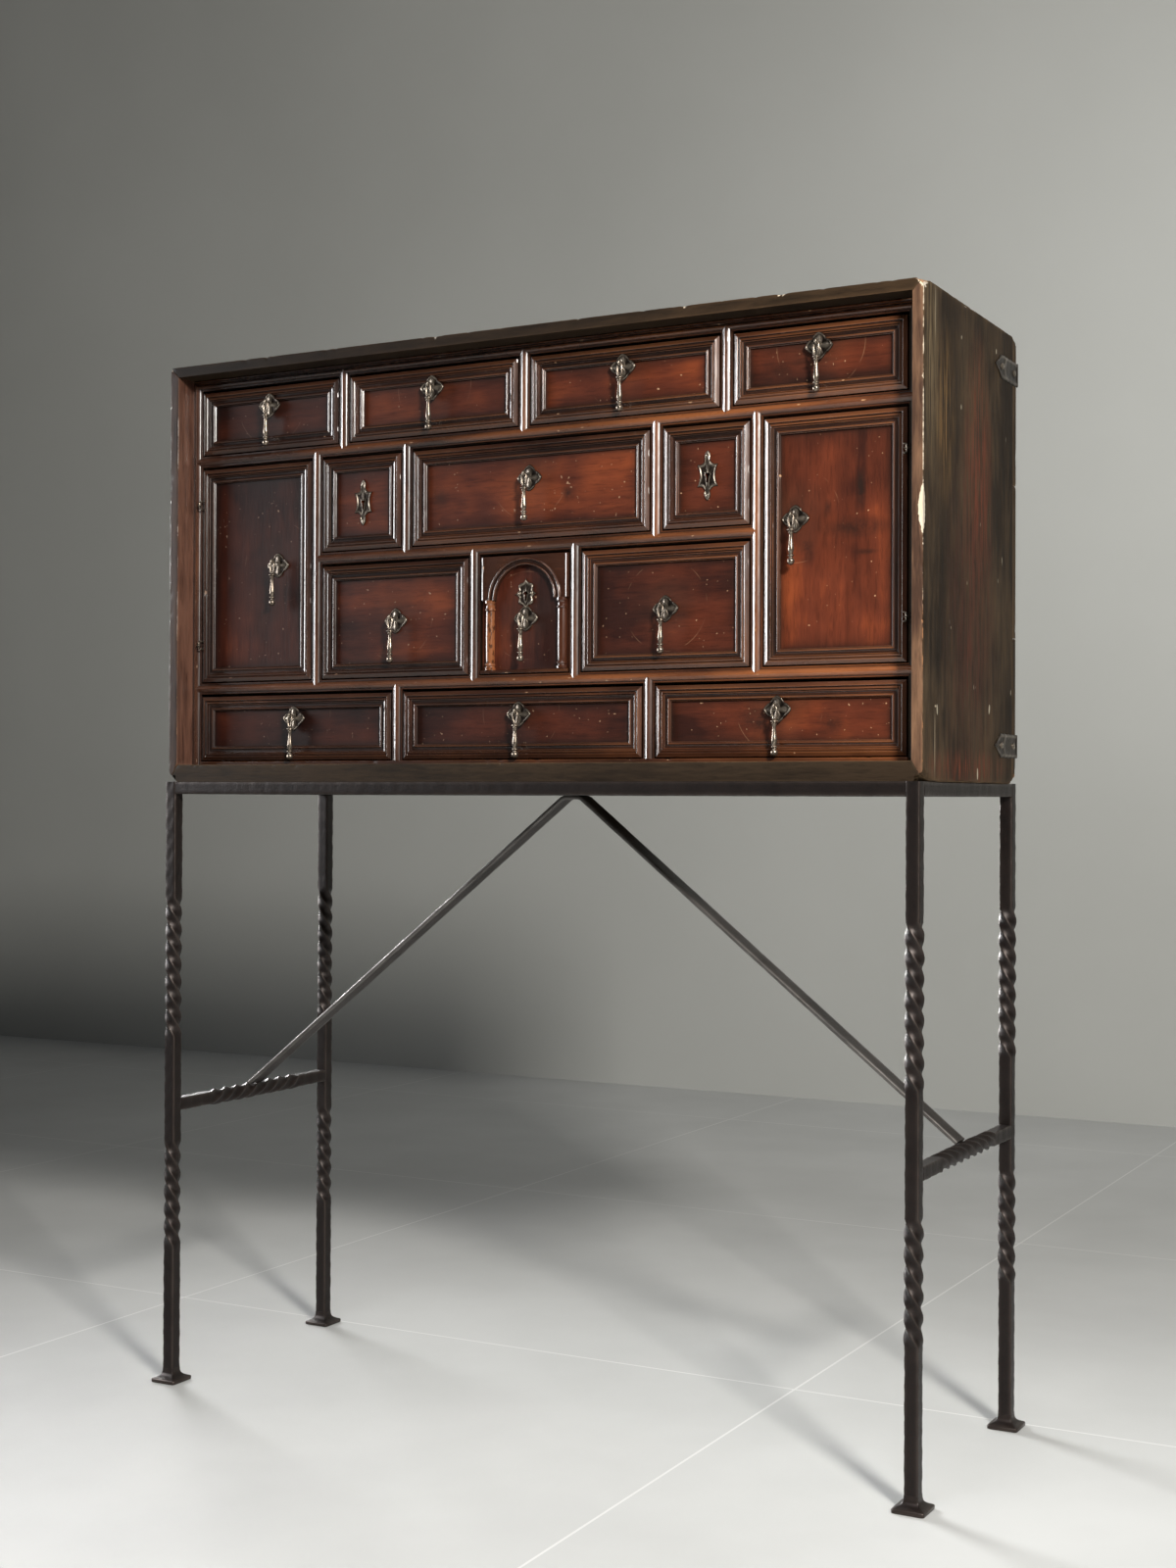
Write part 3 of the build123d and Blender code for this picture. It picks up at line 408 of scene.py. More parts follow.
class Nodes:
    """A short way to write a node material, whose inputs are values or other nodes' outputs."""

    def __init__(self, name):
        self.material = bpy.data.materials.new(name)
        self.material.use_nodes = True
        self.tree = self.material.node_tree
        self.tree.nodes.clear()
        self.shader = self.node("ShaderNodeBsdfPrincipled")
        self.node("ShaderNodeOutputMaterial", {0: self.shader.outputs[0]})
        self.place = self.node("ShaderNodeTexCoord").outputs["Object"]

    def feed(self, socket, value):
        """Sets a socket to a value, or links another node's output to it."""
        if isinstance(value, bpy.types.NodeSocket):
            self.tree.links.new(value, socket)
        elif socket.type == "RGBA":
            socket.default_value = (*value, 1)
        else:
            socket.default_value = value

    def node(self, kind, inputs=None, **settings):
        """A new node, with its settings and with what goes into its sockets."""
        node = self.tree.nodes.new(kind)
        for key, value in settings.items():
            setattr(node, key, value)
        for key, value in (inputs or {}).items():
            self.feed(node.inputs[key], value)
        return node

    def mark(self, name):
        """One of the marks that a piece carries on its points."""
        return self.node("ShaderNodeAttribute", attribute_name=name).outputs["Fac"]

    def math(self, operation, a, b=0.0, clamp=False):
        return self.node("ShaderNodeMath", {0: a, 1: b}, operation=operation, use_clamp=clamp).outputs[0]

    def times(self, a, b, clamp=False):
        return self.math("MULTIPLY", a, b, clamp)

    def plus(self, a, b, clamp=False):
        return self.math("ADD", a, b, clamp)

    def minus(self, a, b):
        return self.math("SUBTRACT", a, b)

    def vector(self, operation, inputs):
        return self.node("ShaderNodeVectorMath", inputs, operation=operation).outputs

    def stretched(self, scale=(1, 1, 1), offset=None):
        """The object's own coordinates, scaled along each axis, and shifted by a mark."""
        mapped = self.node("ShaderNodeMapping", {"Scale": scale, "Vector": self.place}).outputs[0]
        if offset is None:
            return mapped
        spread = self.vector("SCALE", {0: (17.3, 9.1, 23.7), "Scale": offset})[0]
        return self.vector("ADD", {0: mapped, 1: spread})[0]

    def axis(self, index):
        """The place along one axis, in metres."""
        return self.node("ShaderNodeSeparateXYZ", {0: self.place}).outputs[index]

    def noise(self, vector, scale, detail=3.0, roughness=0.55, distortion=0.0):
        inputs = {"Vector": vector, "Scale": scale, "Detail": detail, "Roughness": roughness,
                  "Distortion": distortion}
        return self.node("ShaderNodeTexNoise", inputs).outputs["Fac"]

    def ramp(self, value, stops):
        """Colours or greys at places between 0 and 1."""
        node = self.node("ShaderNodeValToRGB", {0: value})
        elements = node.color_ramp.elements
        while len(elements) < len(stops):
            elements.new(0.5)
        for element, (place, colour) in zip(elements, stops):
            element.position = place
            if isinstance(colour, (int, float)):
                colour = (colour, colour, colour)
            element.color = (*colour, 1)
        return node.outputs[0]

    def blend(self, factor, a, b, mode="MIX"):
        node = self.node("ShaderNodeMix", {0: factor}, data_type="RGBA", blend_type=mode)
        colours = [socket for socket in node.inputs if socket.type == "RGBA"]
        for socket, value in zip(colours, (a, b)):
            self.feed(socket, value)
        return [socket for socket in node.outputs if socket.type == "RGBA"][0]

    def bump(self, height, distance, strength=1.0, below=None):
        inputs = {"Height": height, "Distance": distance, "Strength": strength}
        if below is not None:
            inputs["Normal"] = below
        return self.node("ShaderNodeBump", inputs).outputs[0]

    def finish(self, colour, roughness, normal=None, metallic=0.0, specular=0.5, coat=0.0,
               coat_roughness=0.2):
        """Feeds the shader and gives the material."""
        inputs = {"Base Color": colour, "Roughness": roughness, "Metallic": metallic,
                  "Specular IOR Level": specular, "Coat Weight": coat,
                  "Coat Roughness": coat_roughness}
        if normal is not None:
            inputs["Normal"] = normal
        for name, value in inputs.items():
            self.feed(self.shader.inputs[name], value)
        return self.material


def wood(name, grain, dark, middle, light, worn, gloss=0.4, streak=0.5, specks=0.0, wear_gain=1.0,
         coat=0.12, relief=1.0, specular=0.5, mottle=0.5, pale=(0.4, 0.24, 0.14), low_pale=None,
         extra=None):
    """Old waxed wood: grain along one axis, rubbed crests, grime and painted shade in the hollows, pale
    chips.
    """
    n = Nodes(name)
    long = {"x": (0.12, 1, 1), "y": (1, 0.12, 1), "z": (1, 1, 0.12)}[grain]
    tone = n.mark("tone")
    even, stretched = n.stretched(offset=tone), n.stretched(long, tone)
    figure = n.noise(stretched, 14.0, 4.0, 0.6, 0.6)
    fibre = n.noise(stretched, 130.0, 3.0, 0.7)
    pores = n.noise(n.stretched(tuple(0.5 * v for v in long), tone), 900.0, 2.0, 0.6)
    cloud = n.noise(even, 7.0, 3.0, 0.6)
    value = n.plus(n.times(figure, 0.6), n.times(fibre, 0.4 * streak))
    value = n.plus(value, n.times(n.minus(cloud, 0.5), mottle))
    value = n.plus(value, n.times(n.minus(tone, 0.5), 0.12))
    colour = n.ramp(value, [(0.25, dark), (0.45, middle), (0.68, light)])
    colour = n.blend(0.35, colour, n.ramp(pores, [(0.34, 0.35), (0.46, 1.0)]), "MULTIPLY")
    rub = n.times(n.mark("wear"), n.ramp(n.noise(stretched, 40.0), [(0.38, 0.15), (0.62, 1.0)]))
    colour = n.blend(n.times(rub, wear_gain, clamp=True), colour, worn)
    # Grime and painted shade: near-black in the grooves and hollows that the pieces mark, and on panels next
    # to their frames.
    colour = n.blend(n.times(n.mark("grime_and_shade"), 0.9, clamp=True), colour, (0.006, 0.004, 0.003))
    ragged = n.times(n.minus(n.noise(even, 260.0), 0.5), 0.8)
    fresh = n.blend(fibre, pale, tuple(0.55 * v for v in pale))
    if low_pale:
        fresh = n.blend(n.ramp(n.axis(2), [(0.96, 1.0), (1.04, 0.0)]), fresh, low_pale)
    chipped = n.ramp(n.plus(n.mark("chip"), ragged), [(0.46, 0.0), (0.6, 1.0)])
    colour = n.blend(chipped, colour, fresh)
    if specks:
        colour = used_panel(n, colour, even, cloud, specks)
    if extra:
        colour = extra(n, colour)
    rough = n.plus(n.times(fibre, 0.16), gloss)
    height = n.plus(n.times(fibre, 0.5), n.times(pores, 0.6))
    normal = n.bump(height, 0.0005, 0.5 * relief)
    normal = n.bump(cloud, 0.004, 0.25 * relief, normal)
    return n.finish(colour, rough, normal, specular=specular, coat=coat, coat_roughness=0.16)


def used_panel(n, colour, even, cloud, specks):
    """Pale specks, the broken arc that the drop has rubbed and the stain round its plate."""
    rubbed_at = 53.0
    spots = n.noise(even, 230.0, 1.0, 0.5)
    colour = n.blend(n.ramp(spots, [(0.745, 0.0), (0.78, specks)]), colour, (0.42, 0.27, 0.17))
    arc = n.mark("arc")
    line = n.math("ABSOLUTE", n.minus(arc, rubbed_at))
    thin = n.ramp(n.times(line, 0.5), [(0.0, 1.0), (0.3, 0.0)])
    broken = n.ramp(n.noise(even, 30.0, 2.0), [(0.52, 0.0), (0.62, 0.28)])
    colour = n.blend(n.times(thin, broken), colour, (0.34, 0.2, 0.12))
    stain = n.ramp(n.times(arc, 0.01), [(0.12, 0.65), (0.45, 0.0)])
    return n.blend(n.times(stain, cloud), colour, (0.02, 0.014, 0.01))


def iron(name, dark, light, shine, roughness, rust=(0.05, 0.022, 0.012), rust_share=0.4,
         pits=0.6, metallic=0.85):
    """Forged iron: hammered, pitted, browned in the hollows and bright where hands rub it."""
    n = Nodes(name)
    even = n.stretched()
    cloud = n.noise(even, 28.0, 4.0, 0.62)
    fine = n.noise(even, 420.0, 3.0, 0.65)
    hammer = n.noise(even, 75.0, 2.0, 0.5)
    colour = n.ramp(cloud, [(0.3, dark), (0.7, light)])
    rusty = n.times(n.ramp(fine, [(0.4, 0.0), (0.62, 1.0)]), rust_share)
    colour = n.blend(rusty, colour, rust)
    rub = n.times(n.mark("wear"), n.ramp(cloud, [(0.3, 0.45), (0.6, 1.0)]), clamp=True)
    colour = n.blend(rub, colour, shine)
    colour = n.blend(n.times(n.mark("grime_and_shade"), 0.85, clamp=True), colour, (0.008, 0.006, 0.005))
    rough = n.minus(n.plus(n.times(fine, 0.25), roughness), n.times(rub, 0.15))
    normal = n.bump(hammer, 0.0012, 0.4)
    normal = n.bump(fine, 0.0004, 0.6 * pits, normal)
    return n.finish(colour, rough, normal, metallic=metallic)


def near(n, centre, radius, softness=1.0):
    """How near the surface is to a place: 1 inside the radii and 0 outside, in millimetres."""
    shift = n.vector("SUBTRACT", {0: n.place, 1: tuple(v * MM for v in centre)})[0]
    scaled = n.vector("MULTIPLY", {0: shift, 1: tuple(1 / (v * MM) for v in radius)})[0]
    size = n.vector("LENGTH", {0: scaled})["Value"]
    return n.ramp(n.times(size, 0.5), [(0.5 - 0.5 * softness, 1.0), (0.5, 0.0)])


def side_marks(n, colour):
    """Red streaks where the sides are rubbed, and thin pale cracks behind the front edge."""
    side_x = 515
    streaks = n.ramp(n.noise(n.stretched((1, 1, 0.05)), 210.0, 4.0, 0.75), [(0.44, 0.0), (0.6, 1.0)])
    for place, radii, tint in (
        ((18, 1120), (62, 190), (0.13, 0.032, 0.015)),
        ((-5, 960), (110, 230), (0.06, 0.021, 0.013)),
        ((-98, 1185), (40, 110), (0.13, 0.075, 0.03)),
        ((-145, 1240), (34, 150), (0.12, 0.088, 0.05)),
        ((-20, 797), (170, 24), (0.11, 0.029, 0.014)),
    ):
        share = n.times(near(n, (side_x, *place), (60, *radii)), streaks)
        colour = n.blend(n.times(share, 1.2, clamp=True), colour, tint)
    for place, radii in (((-131, 1293), (0.8, 36)), ((-130, 822), (0.8, 42)), ((-128, 862), (3.5, 1.4))):
        crack = n.times(near(n, (side_x, *place), (30, *radii), 0.4), 0.75)
        colour = n.blend(crack, colour, (0.4, 0.33, 0.24))
    nick = n.noise(n.stretched((1, 1, 0.35)), 85.0, 1.0)
    return n.blend(n.ramp(nick, [(0.755, 0.0), (0.775, 0.7)]), colour, (0.42, 0.38, 0.3))


STAINS = [
    ((-120, 1130), (16, 15), 0.8), ((60, 1124), (12, 12), 0.9), ((296, 1132), (11, 12), 1.0),
    ((430, 1103), (7, 27), 1.6), ((391, 1085), (5, 12), 1.1), ((424, 1062), (46, 15), 1.1),
    ((366, 1040), (16, 22), 0.9), ((436, 1034), (18, 4), 1.0), ((352, 1075), (14, 30), 0.8),
    ((310, 848), (34, 26), 1.0), ((395, 846), (30, 20), 0.8), ((330, 1245), (40, 24), 0.8),
    ((150, 985), (30, 24), 0.35), ((-390, 1010), (40, 60), 0.4),
]


def painted_light_from_right(n, colour):
    """Painted light: the wood is painted brighter and more orange towards the right, where the light falls
    from the right, and darker and cooler at the left.
    """
    across = n.plus(n.times(n.axis(0), 0.95), 0.5, clamp=True)
    left, middle, right = (0.29, 0.3, 0.35), (0.42, 0.42, 0.44), (0.9, 0.85, 0.75)
    painted_falloff = n.ramp(across, [(0.0, left), (0.45, middle), (0.9, right)])
    bright = n.blend(1.0, colour, (2.0, 2.0, 2.0), "MULTIPLY")
    return n.blend(1.0, bright, painted_falloff, "MULTIPLY")


def speckled(n, colour):
    """Dark speckles, as in tortoiseshell."""
    spots = n.noise(n.stretched((1, 1, 0.5)), 190.0, 2.0, 0.6)
    return n.blend(n.ramp(spots, [(0.52, 0.0), (0.6, 0.8)]), colour, (0.03, 0.01, 0.004))


def panel_marks(n, colour):
    """Dark knots and stains at their places, on wood painted lighter and redder towards the right, as
    painted light from that side.
    """
    colour = painted_light_from_right(n, colour)
    patchy = n.ramp(n.noise(n.stretched(), 60.0, 4.0, 0.7), [(0.3, 0.25), (0.6, 1.0)])
    for (x, z), (half_width, half_height), strength in STAINS:
        share = n.times(near(n, (x, PANEL_Y, z), (half_width, 12, half_height)), strength)
        colour = n.blend(n.times(share, patchy, clamp=True), colour, (0.02, 0.009, 0.006))
    return colour


def wood_pair(name, **look):
    """The same wood with its grain along X and along Z."""
    return [wood(f"{name}_{axis}", axis, **look) for axis in ("x", "z")]


CASE_LOOK = dict(dark=(0.005, 0.0035, 0.002), middle=(0.017, 0.011, 0.0065), light=(0.058, 0.038, 0.021),
                 worn=(0.17, 0.11, 0.06), gloss=0.55, wear_gain=0.6, streak=1.3, coat=0.0, specular=0.12)
# A darker look: painted shade on the right stile behind the right board's front edge and on the top board's
# underside, and plain darker wood on the bottom board's front.
DARK_AND_SHADED_LOOK = dict(dark=(0.004, 0.003, 0.002), middle=(0.012, 0.008, 0.005), light=(0.033, 0.021, 0.012),
                  worn=(0.12, 0.08, 0.045), gloss=0.5, wear_gain=0.3, streak=1.3, coat=0.0, specular=0.1)
RECESS_LOOK = dict(dark=(0.008, 0.0035, 0.0025), middle=(0.035, 0.014, 0.009), light=(0.125, 0.058, 0.038),
                   worn=(0.26, 0.15, 0.1), gloss=0.3, wear_gain=0.5, coat=0.2, streak=1.6)
MOULDING_LOOK = dict(dark=(0.01, 0.005, 0.003), middle=(0.038, 0.013, 0.007), light=(0.12, 0.04, 0.014),
                     worn=(0.26, 0.09, 0.03), gloss=0.2, wear_gain=0.6, coat=0.9, relief=0.35,
                     specular=1.0)
FRAME_LOOK = dict(dark=(0.01, 0.004, 0.003), middle=(0.038, 0.013, 0.007), light=(0.11, 0.036, 0.014),
                  worn=(0.2, 0.078, 0.03), gloss=0.17, wear_gain=0.42, coat=0.9, relief=0.35,
                  specular=1.0)
EDGE_LOOK = dict(dark=(0.009, 0.005, 0.004), middle=(0.036, 0.019, 0.013), light=(0.115, 0.066, 0.042),
                 worn=(0.16, 0.092, 0.056), gloss=0.5, wear_gain=0.3, streak=1.3, coat=0.0, specular=0.2)
TOP_EDGE_LOOK = dict(dark=(0.004, 0.003, 0.002), middle=(0.0085, 0.0055, 0.0033),
                     light=(0.026, 0.016, 0.009), worn=(0.1, 0.06, 0.034), gloss=0.55,
                     wear_gain=0.35, streak=1.3, coat=0.0, specular=0.1)
PANEL_LOOK = dict(dark=(0.022, 0.006, 0.0038), middle=(0.076, 0.0175, 0.008), light=(0.205, 0.047, 0.0145),
                  worn=(0.27, 0.088, 0.036), gloss=0.38, specks=0.6, coat=0.0, relief=0.8, streak=0.5,
                  mottle=0.8, specular=0.16)
INNER_LOOK = dict(dark=(0.075, 0.042, 0.022), middle=(0.15, 0.088, 0.046), light=(0.26, 0.165, 0.09),
                  worn=(0.3, 0.2, 0.12), gloss=0.6, coat=0.0)
# What differs on strips that lie level, and on the strips beside the right board, which are duller and less
# rubbed so that they are painted darker as the right board's shade.
LYING = dict(coat=0.45, specular=0.6)
DULL_AND_SHADED = dict(gloss=0.36, coat=0.1, specular=0.3, wear_gain=0.25)
PALE = (0.55, 0.49, 0.41)
LOW_PALE = (0.2, 0.1, 0.05)

case_x = wood("case_walnut_x", "x", **CASE_LOOK)
dark_and_shaded_x, dark_and_shaded_z = wood_pair("dark_and_shaded_walnut", **DARK_AND_SHADED_LOOK)
recess_z = wood("recess_walnut_z", "z", **RECESS_LOOK)
# The mouldings, frames, panels and edges below are painted brighter towards the right, as painted light.
moulding_x = wood("moulding_walnut_x", "x", **MOULDING_LOOK | LYING, extra=painted_light_from_right)
moulding_z = wood("moulding_walnut_z", "z", **MOULDING_LOOK, extra=painted_light_from_right)
frame_x = wood("frame_walnut_x", "x", **FRAME_LOOK | LYING, extra=painted_light_from_right)
frame_z = wood("frame_walnut_z", "z", **FRAME_LOOK, extra=painted_light_from_right)
frame_dull_shaded = wood("frame_walnut_dull_shaded", "z", **FRAME_LOOK | DULL_AND_SHADED, extra=painted_light_from_right)
panel_x, panel_z = wood_pair("panel_walnut", **PANEL_LOOK, extra=panel_marks)
case_side = wood("case_walnut_side", "z", **CASE_LOOK, pale=PALE, low_pale=LOW_PALE, extra=side_marks)
edge_x = wood("edge_walnut_x", "x", **TOP_EDGE_LOOK, pale=PALE, extra=painted_light_from_right)
edge_z = wood("edge_walnut_z", "z", **EDGE_LOOK, pale=PALE, low_pale=LOW_PALE, extra=painted_light_from_right)
inner_x, inner_y = (wood(f"inner_wood_{axis}", axis, **INNER_LOOK) for axis in ("x", "y"))
column_amber = wood("column_amber", "z", dark=(0.05, 0.011, 0.004), middle=(0.2, 0.055, 0.014),
                    light=(0.38, 0.13, 0.035), worn=(0.42, 0.18, 0.08), gloss=0.14, coat=0.8, relief=0.5,
                    wear_gain=0.5, extra=speckled)
column_dark = wood("column_dark", "z", dark=(0.012, 0.004, 0.002), middle=(0.04, 0.011, 0.005),
                   light=(0.11, 0.028, 0.01), worn=(0.17, 0.055, 0.022), gloss=0.16, coat=0.8, relief=0.5,
                   wear_gain=0.5)
stand_iron = iron("stand_iron", (0.004, 0.003, 0.003), (0.012, 0.0085, 0.0075), (0.055, 0.042, 0.036), 0.34,
                  rust=(0.018, 0.007, 0.005), rust_share=0.5, metallic=0.55)
plate_iron = iron("plate_iron", (0.012, 0.009, 0.007), (0.05, 0.038, 0.029), (0.36, 0.31, 0.25), 0.28,
                  rust=(0.035, 0.018, 0.01))
brace_iron = iron("brace_iron", (0.008, 0.007, 0.007), (0.035, 0.032, 0.031), (0.2, 0.19, 0.18), 0.36,
                  metallic=0.6)
drop_iron = iron("drop_iron", (0.034, 0.025, 0.018), (0.11, 0.084, 0.062), (0.27, 0.225, 0.18), 0.27,
                 rust=(0.04, 0.023, 0.014), rust_share=0.6, pits=0.5, metallic=0.88)

# ---- Camera, light and room ------------------------------------------------------------


def set_camera():
    """The photograph's viewpoint: a 47 mm lens on a 36 mm tall frame, level with the stand's top."""
    camera_data = bpy.data.cameras.new("camera")
    camera_data.sensor_fit = "VERTICAL"
    camera_data.sensor_height = 36.0
    camera_data.lens = 47.16
    camera_data.clip_end = 50.0
    camera = add_object("camera", camera_data)
    yaw, tilt, roll = math.radians(28.39), math.radians(90.426), math.radians(0.228)
    camera.matrix_world = (
        Matrix.Translation((1.2442, -2.2708, 0.7592))
        @ Matrix.Rotation(yaw, 4, "Z")
        @ Matrix.Rotation(tilt, 4, "X")
        @ Matrix.Rotation(roll, 4, "Z")
    )
    bpy.context.scene.camera = camera


def area_light(name, place, target, size, power, colour=(1, 1, 1), spread=180):
    """A rectangular soft light aimed at a place."""
    data = bpy.data.lights.new(name, "AREA")
    data.shape = "RECTANGLE"
    data.size, data.size_y = size
    data.energy = power
    data.color = colour
    data.spread = math.radians(spread)
    light = add_object(name, data)
    light.location = place
    light.rotation_euler = (Vector(target) - Vector(place)).to_track_quat("-Z", "Y").to_euler()
    light.visible_camera = False
    return light


def set_lights():
    """A key from the right, a tall light at the left for the streaks, and three fills.

    The streak light is seen by gloss only. The fills are over the front, behind the back and on
    the wall.
    """
    middle = (0.0, -0.1, 1.0)
    area_light("key", (2.6, -2.3, 2.35), middle, (0.45, 0.45), 185, (1.0, 0.96, 0.9))
    streak = area_light("streak", (-2.4, -0.68, 1.38), (0.0, -0.1, 1.2), (1.5, 1.0), 90,
                        (0.97, 0.98, 1.0))
    streak.visible_diffuse = False
    area_light("overhead", (0.6, -2.4, 3.3), (0.5, -2.0, 0.0), (1.8, 1.0), 26, spread=100)
    area_light("back_fill", (-2.6, 1.5, 1.5), (0.0, 0.17, 1.05), (1.0, 1.0), 26, spread=50)
    area_light("wall_wash", (1.7, 0.9, 2.6), (-0.4, 2.6, 1.35), (0.8, 0.8), 9, spread=95)
    world = bpy.data.worlds.new("world")
    world.use_nodes = True
    background = world.node_tree.nodes["Background"]
    background.inputs["Color"].default_value = (0.72, 0.76, 0.8, 1)
    background.inputs["Strength"].default_value = 0.03
    bpy.context.scene.world = world
    bpy.context.scene.view_settings.view_transform = "Standard"


def room_piece(name, corners, material):
    """A flat sheet of the room, which isn't part of the object."""
    data = bpy.data.meshes.new(name)
    data.from_pydata(corners, [], [(0, 1, 2, 3)])
    data.materials.append(material)
    add_object(name, data)


def floor_material():
    """Pale tiles of one metre, with faint joints and a low gloss."""
    n = Nodes("floor_tiles")
    cloud = n.noise(n.stretched(), 2.2, 4.0)
    colour = n.ramp(cloud, [(0.3, (0.5, 0.51, 0.505)), (0.7, (0.58, 0.59, 0.585))])
    joints = []
    for axis, offset in ((0, 0.28), (1, 0.31)):
        cell = n.math("FRACT", n.plus(n.axis(axis), offset + 20.0))
        joints.append(n.math("LESS_THAN", n.math("ABSOLUTE", n.minus(cell, 0.5)), 0.0016))
    joint = n.math("MAXIMUM", *joints)
    colour = n.blend(n.times(joint, 0.6), colour, (0.8, 0.8, 0.79))
    fine = n.noise(n.stretched(), 160.0, 2.0)
    return n.finish(colour, n.plus(n.times(fine, 0.1), 0.5), specular=0.3)


def wall_material():
    """Plain grey paint."""
    n = Nodes("wall_paint")
    cloud = n.noise(n.stretched(), 1.1)
    colour = n.ramp(cloud, [(0.3, (0.47, 0.48, 0.46)), (0.7, (0.51, 0.52, 0.5))])
    return n.finish(colour, 0.85, specular=0.2)


def make_room():
    """The floor and a wall behind the object."""
    reach, wall_y, high = 6.0, 2.6, 5.0
    left, right = (-reach, wall_y, 0), (reach, wall_y, 0)
    room_piece("floor", [(-reach, -reach, 0), (reach, -reach, 0), right, left], floor_material())
    room_piece("wall", [left, right, (reach, wall_y, high), (-reach, wall_y, high)], wall_material())


# ---- Case ------------------------------------------------------------------------------

OUTER_HALF = node_box("right_side_board")[1][0]
CASE_BOTTOM, CASE_TOP = node_box("bottom_board")[0][2], node_box("top_board")[1][2]
SIDE_THICK = OUTER_HALF - node_box("frame_mouldings")[1][0]
INNER_BOTTOM = node_box("bottom_board")[1][2]
INNER_TOP = node_box("top_board")[0][2]
INNER_HALF = OUTER_HALF - SIDE_THICK
NEST_BACK = node_box("back_board")[0][1]

CORNER_CUTS = [
    (np.array([side * OUTER_HALF, y, z]), size, reach, pale)
    for side, y, z, size, reach, pale in (
        (1, CASE_FRONT, CASE_TOP, 11.0, 16.0, 1.0),
        (-1, CASE_FRONT, CASE_BOTTOM, 16.0, 30.0, 0.0),
        (1, CASE_FRONT, CASE_BOTTOM, 13.0, 22.0, 0.25),
        (1, CASE_BACK, CASE_BOTTOM, 12.0, 14.0, 0.6),
        (1, CASE_BACK, CASE_TOP, 7.0, 12.0, 0.2),
        (-1, CASE_BACK, CASE_TOP, 6.0, 14.0, 0.3),
    )
]


def mitred_side(points):
    """Draws a side board's ends in to its mitres."""
    inward = np.clip((OUTER_HALF - np.abs(points[:, 0])) / SIDE_THICK, 0, 1)
    low = CASE_BOTTOM + inward * (INNER_BOTTOM - CASE_BOTTOM)
    high = CASE_TOP - inward * (CASE_TOP - INNER_TOP)
    share = (points[:, 2] - CASE_BOTTOM) / (CASE_TOP - CASE_BOTTOM)
    return np.column_stack([points[:, :2], low + share * (high - low)])


def mitred_level(outer_z, inner_z):
    """Draws the ends of the top or bottom board in to their mitres."""

    def shape(points):
        inward = np.clip((points[:, 2] - outer_z) / (inner_z - outer_z), 0, 1)
        half = OUTER_HALF - inward * SIDE_THICK
        return np.column_stack([points[:, 0] / OUTER_HALF * half, points[:, 1:]])

    return shape


def right_arris(points):
    """The pale, rubbed front arris of the right side, with one larger chip. Above about 1090 mm the line is
    painted whiter and unbroken, partly a painted highlight where the arris catches the light.
    """
    gap = np.hypot(points[:, 0] - OUTER_HALF, points[:, 1] - CASE_FRONT)
    height = points[:, 2]
    broken = np.sin(height / 11.0) + np.sin(height / 29.0) + np.sin(height / 5.3)
    # Painted highlight: above 1090 mm the pale line is whiter and unbroken.
    glint_above = np.clip((height - 1090) / 30, 0, 1)
    line = (0.66 + 0.12 * (1 - glint_above) * broken + 0.24 * glint_above) * np.exp(-((gap / 1.35) ** 2))
    chip_z, chip_half = 1072.0, 30.0
    swell = 6.0 * np.clip(1 - ((height - chip_z) / chip_half) ** 2, 0, 1)
    chip = np.clip(0.5 + (swell - gap) / 4.0, 0, 1) * (swell > 0.5)
    return np.maximum(line, chip)


def left_arris(points):
    """The pale inner arris of the left side's front edge."""
    gap = np.hypot(points[:, 0] + INNER_HALF, points[:, 1] - CASE_FRONT)
    height = points[:, 2]
    broken = np.sin(height / 7.0) + np.sin(height / 19.0) + np.sin(height / 37.0)
    return np.clip(0.5 + 0.17 * broken, 0, 0.85) * np.exp(-((gap / 1.5) ** 2))


def make_case():
    """The side, top and bottom boards of the case, with their mitres, worn arrises and damaged corners."""
    rng = np.random.default_rng(11)
    boards = (
        ("left_side_board", (-OUTER_HALF, CASE_FRONT, CASE_BOTTOM), (-INNER_HALF, NEST_BACK, CASE_TOP),
         mitred_side, left_arris, (case_side, edge_z, recess_z), 2, 30, {(1, 0): 1, (0, 1): 2}),
        ("right_side_board", (INNER_HALF, CASE_FRONT, CASE_BOTTOM), (OUTER_HALF, NEST_BACK, CASE_TOP),
         mitred_side, right_arris, (case_side, edge_z), 2, 34, {(1, 0): 1}),
        # The top board's underside takes the darker look as painted shade over the drawers; the bottom
        # board's front takes it as darker wood.
        ("top_board", (-OUTER_HALF, CASE_FRONT, INNER_TOP), (OUTER_HALF, NEST_BACK, CASE_TOP),
         mitred_level(CASE_TOP, INNER_TOP), None, (case_x, edge_x, dark_and_shaded_x), 0, 24,
         {(1, 0): 1, (2, 0): 2}),
        ("bottom_board", (-OUTER_HALF, CASE_FRONT, CASE_BOTTOM), (OUTER_HALF, NEST_BACK, INNER_BOTTOM),
         mitred_level(CASE_BOTTOM, INNER_BOTTOM), None, (case_x, dark_and_shaded_x), 0, 16, {(1, 0): 1}),
    )
    for name, low, high, shape, bare, materials, along, nicks, face_slots in boards:
        mesh = Mesh()
        slab(mesh, rng, low, high, 0, soft=1.1, nicks=nicks, shape=shape, cuts=CORNER_CUTS, bare=bare,
             face_slots=face_slots, along=along)
        make_piece(name, mesh, materials)


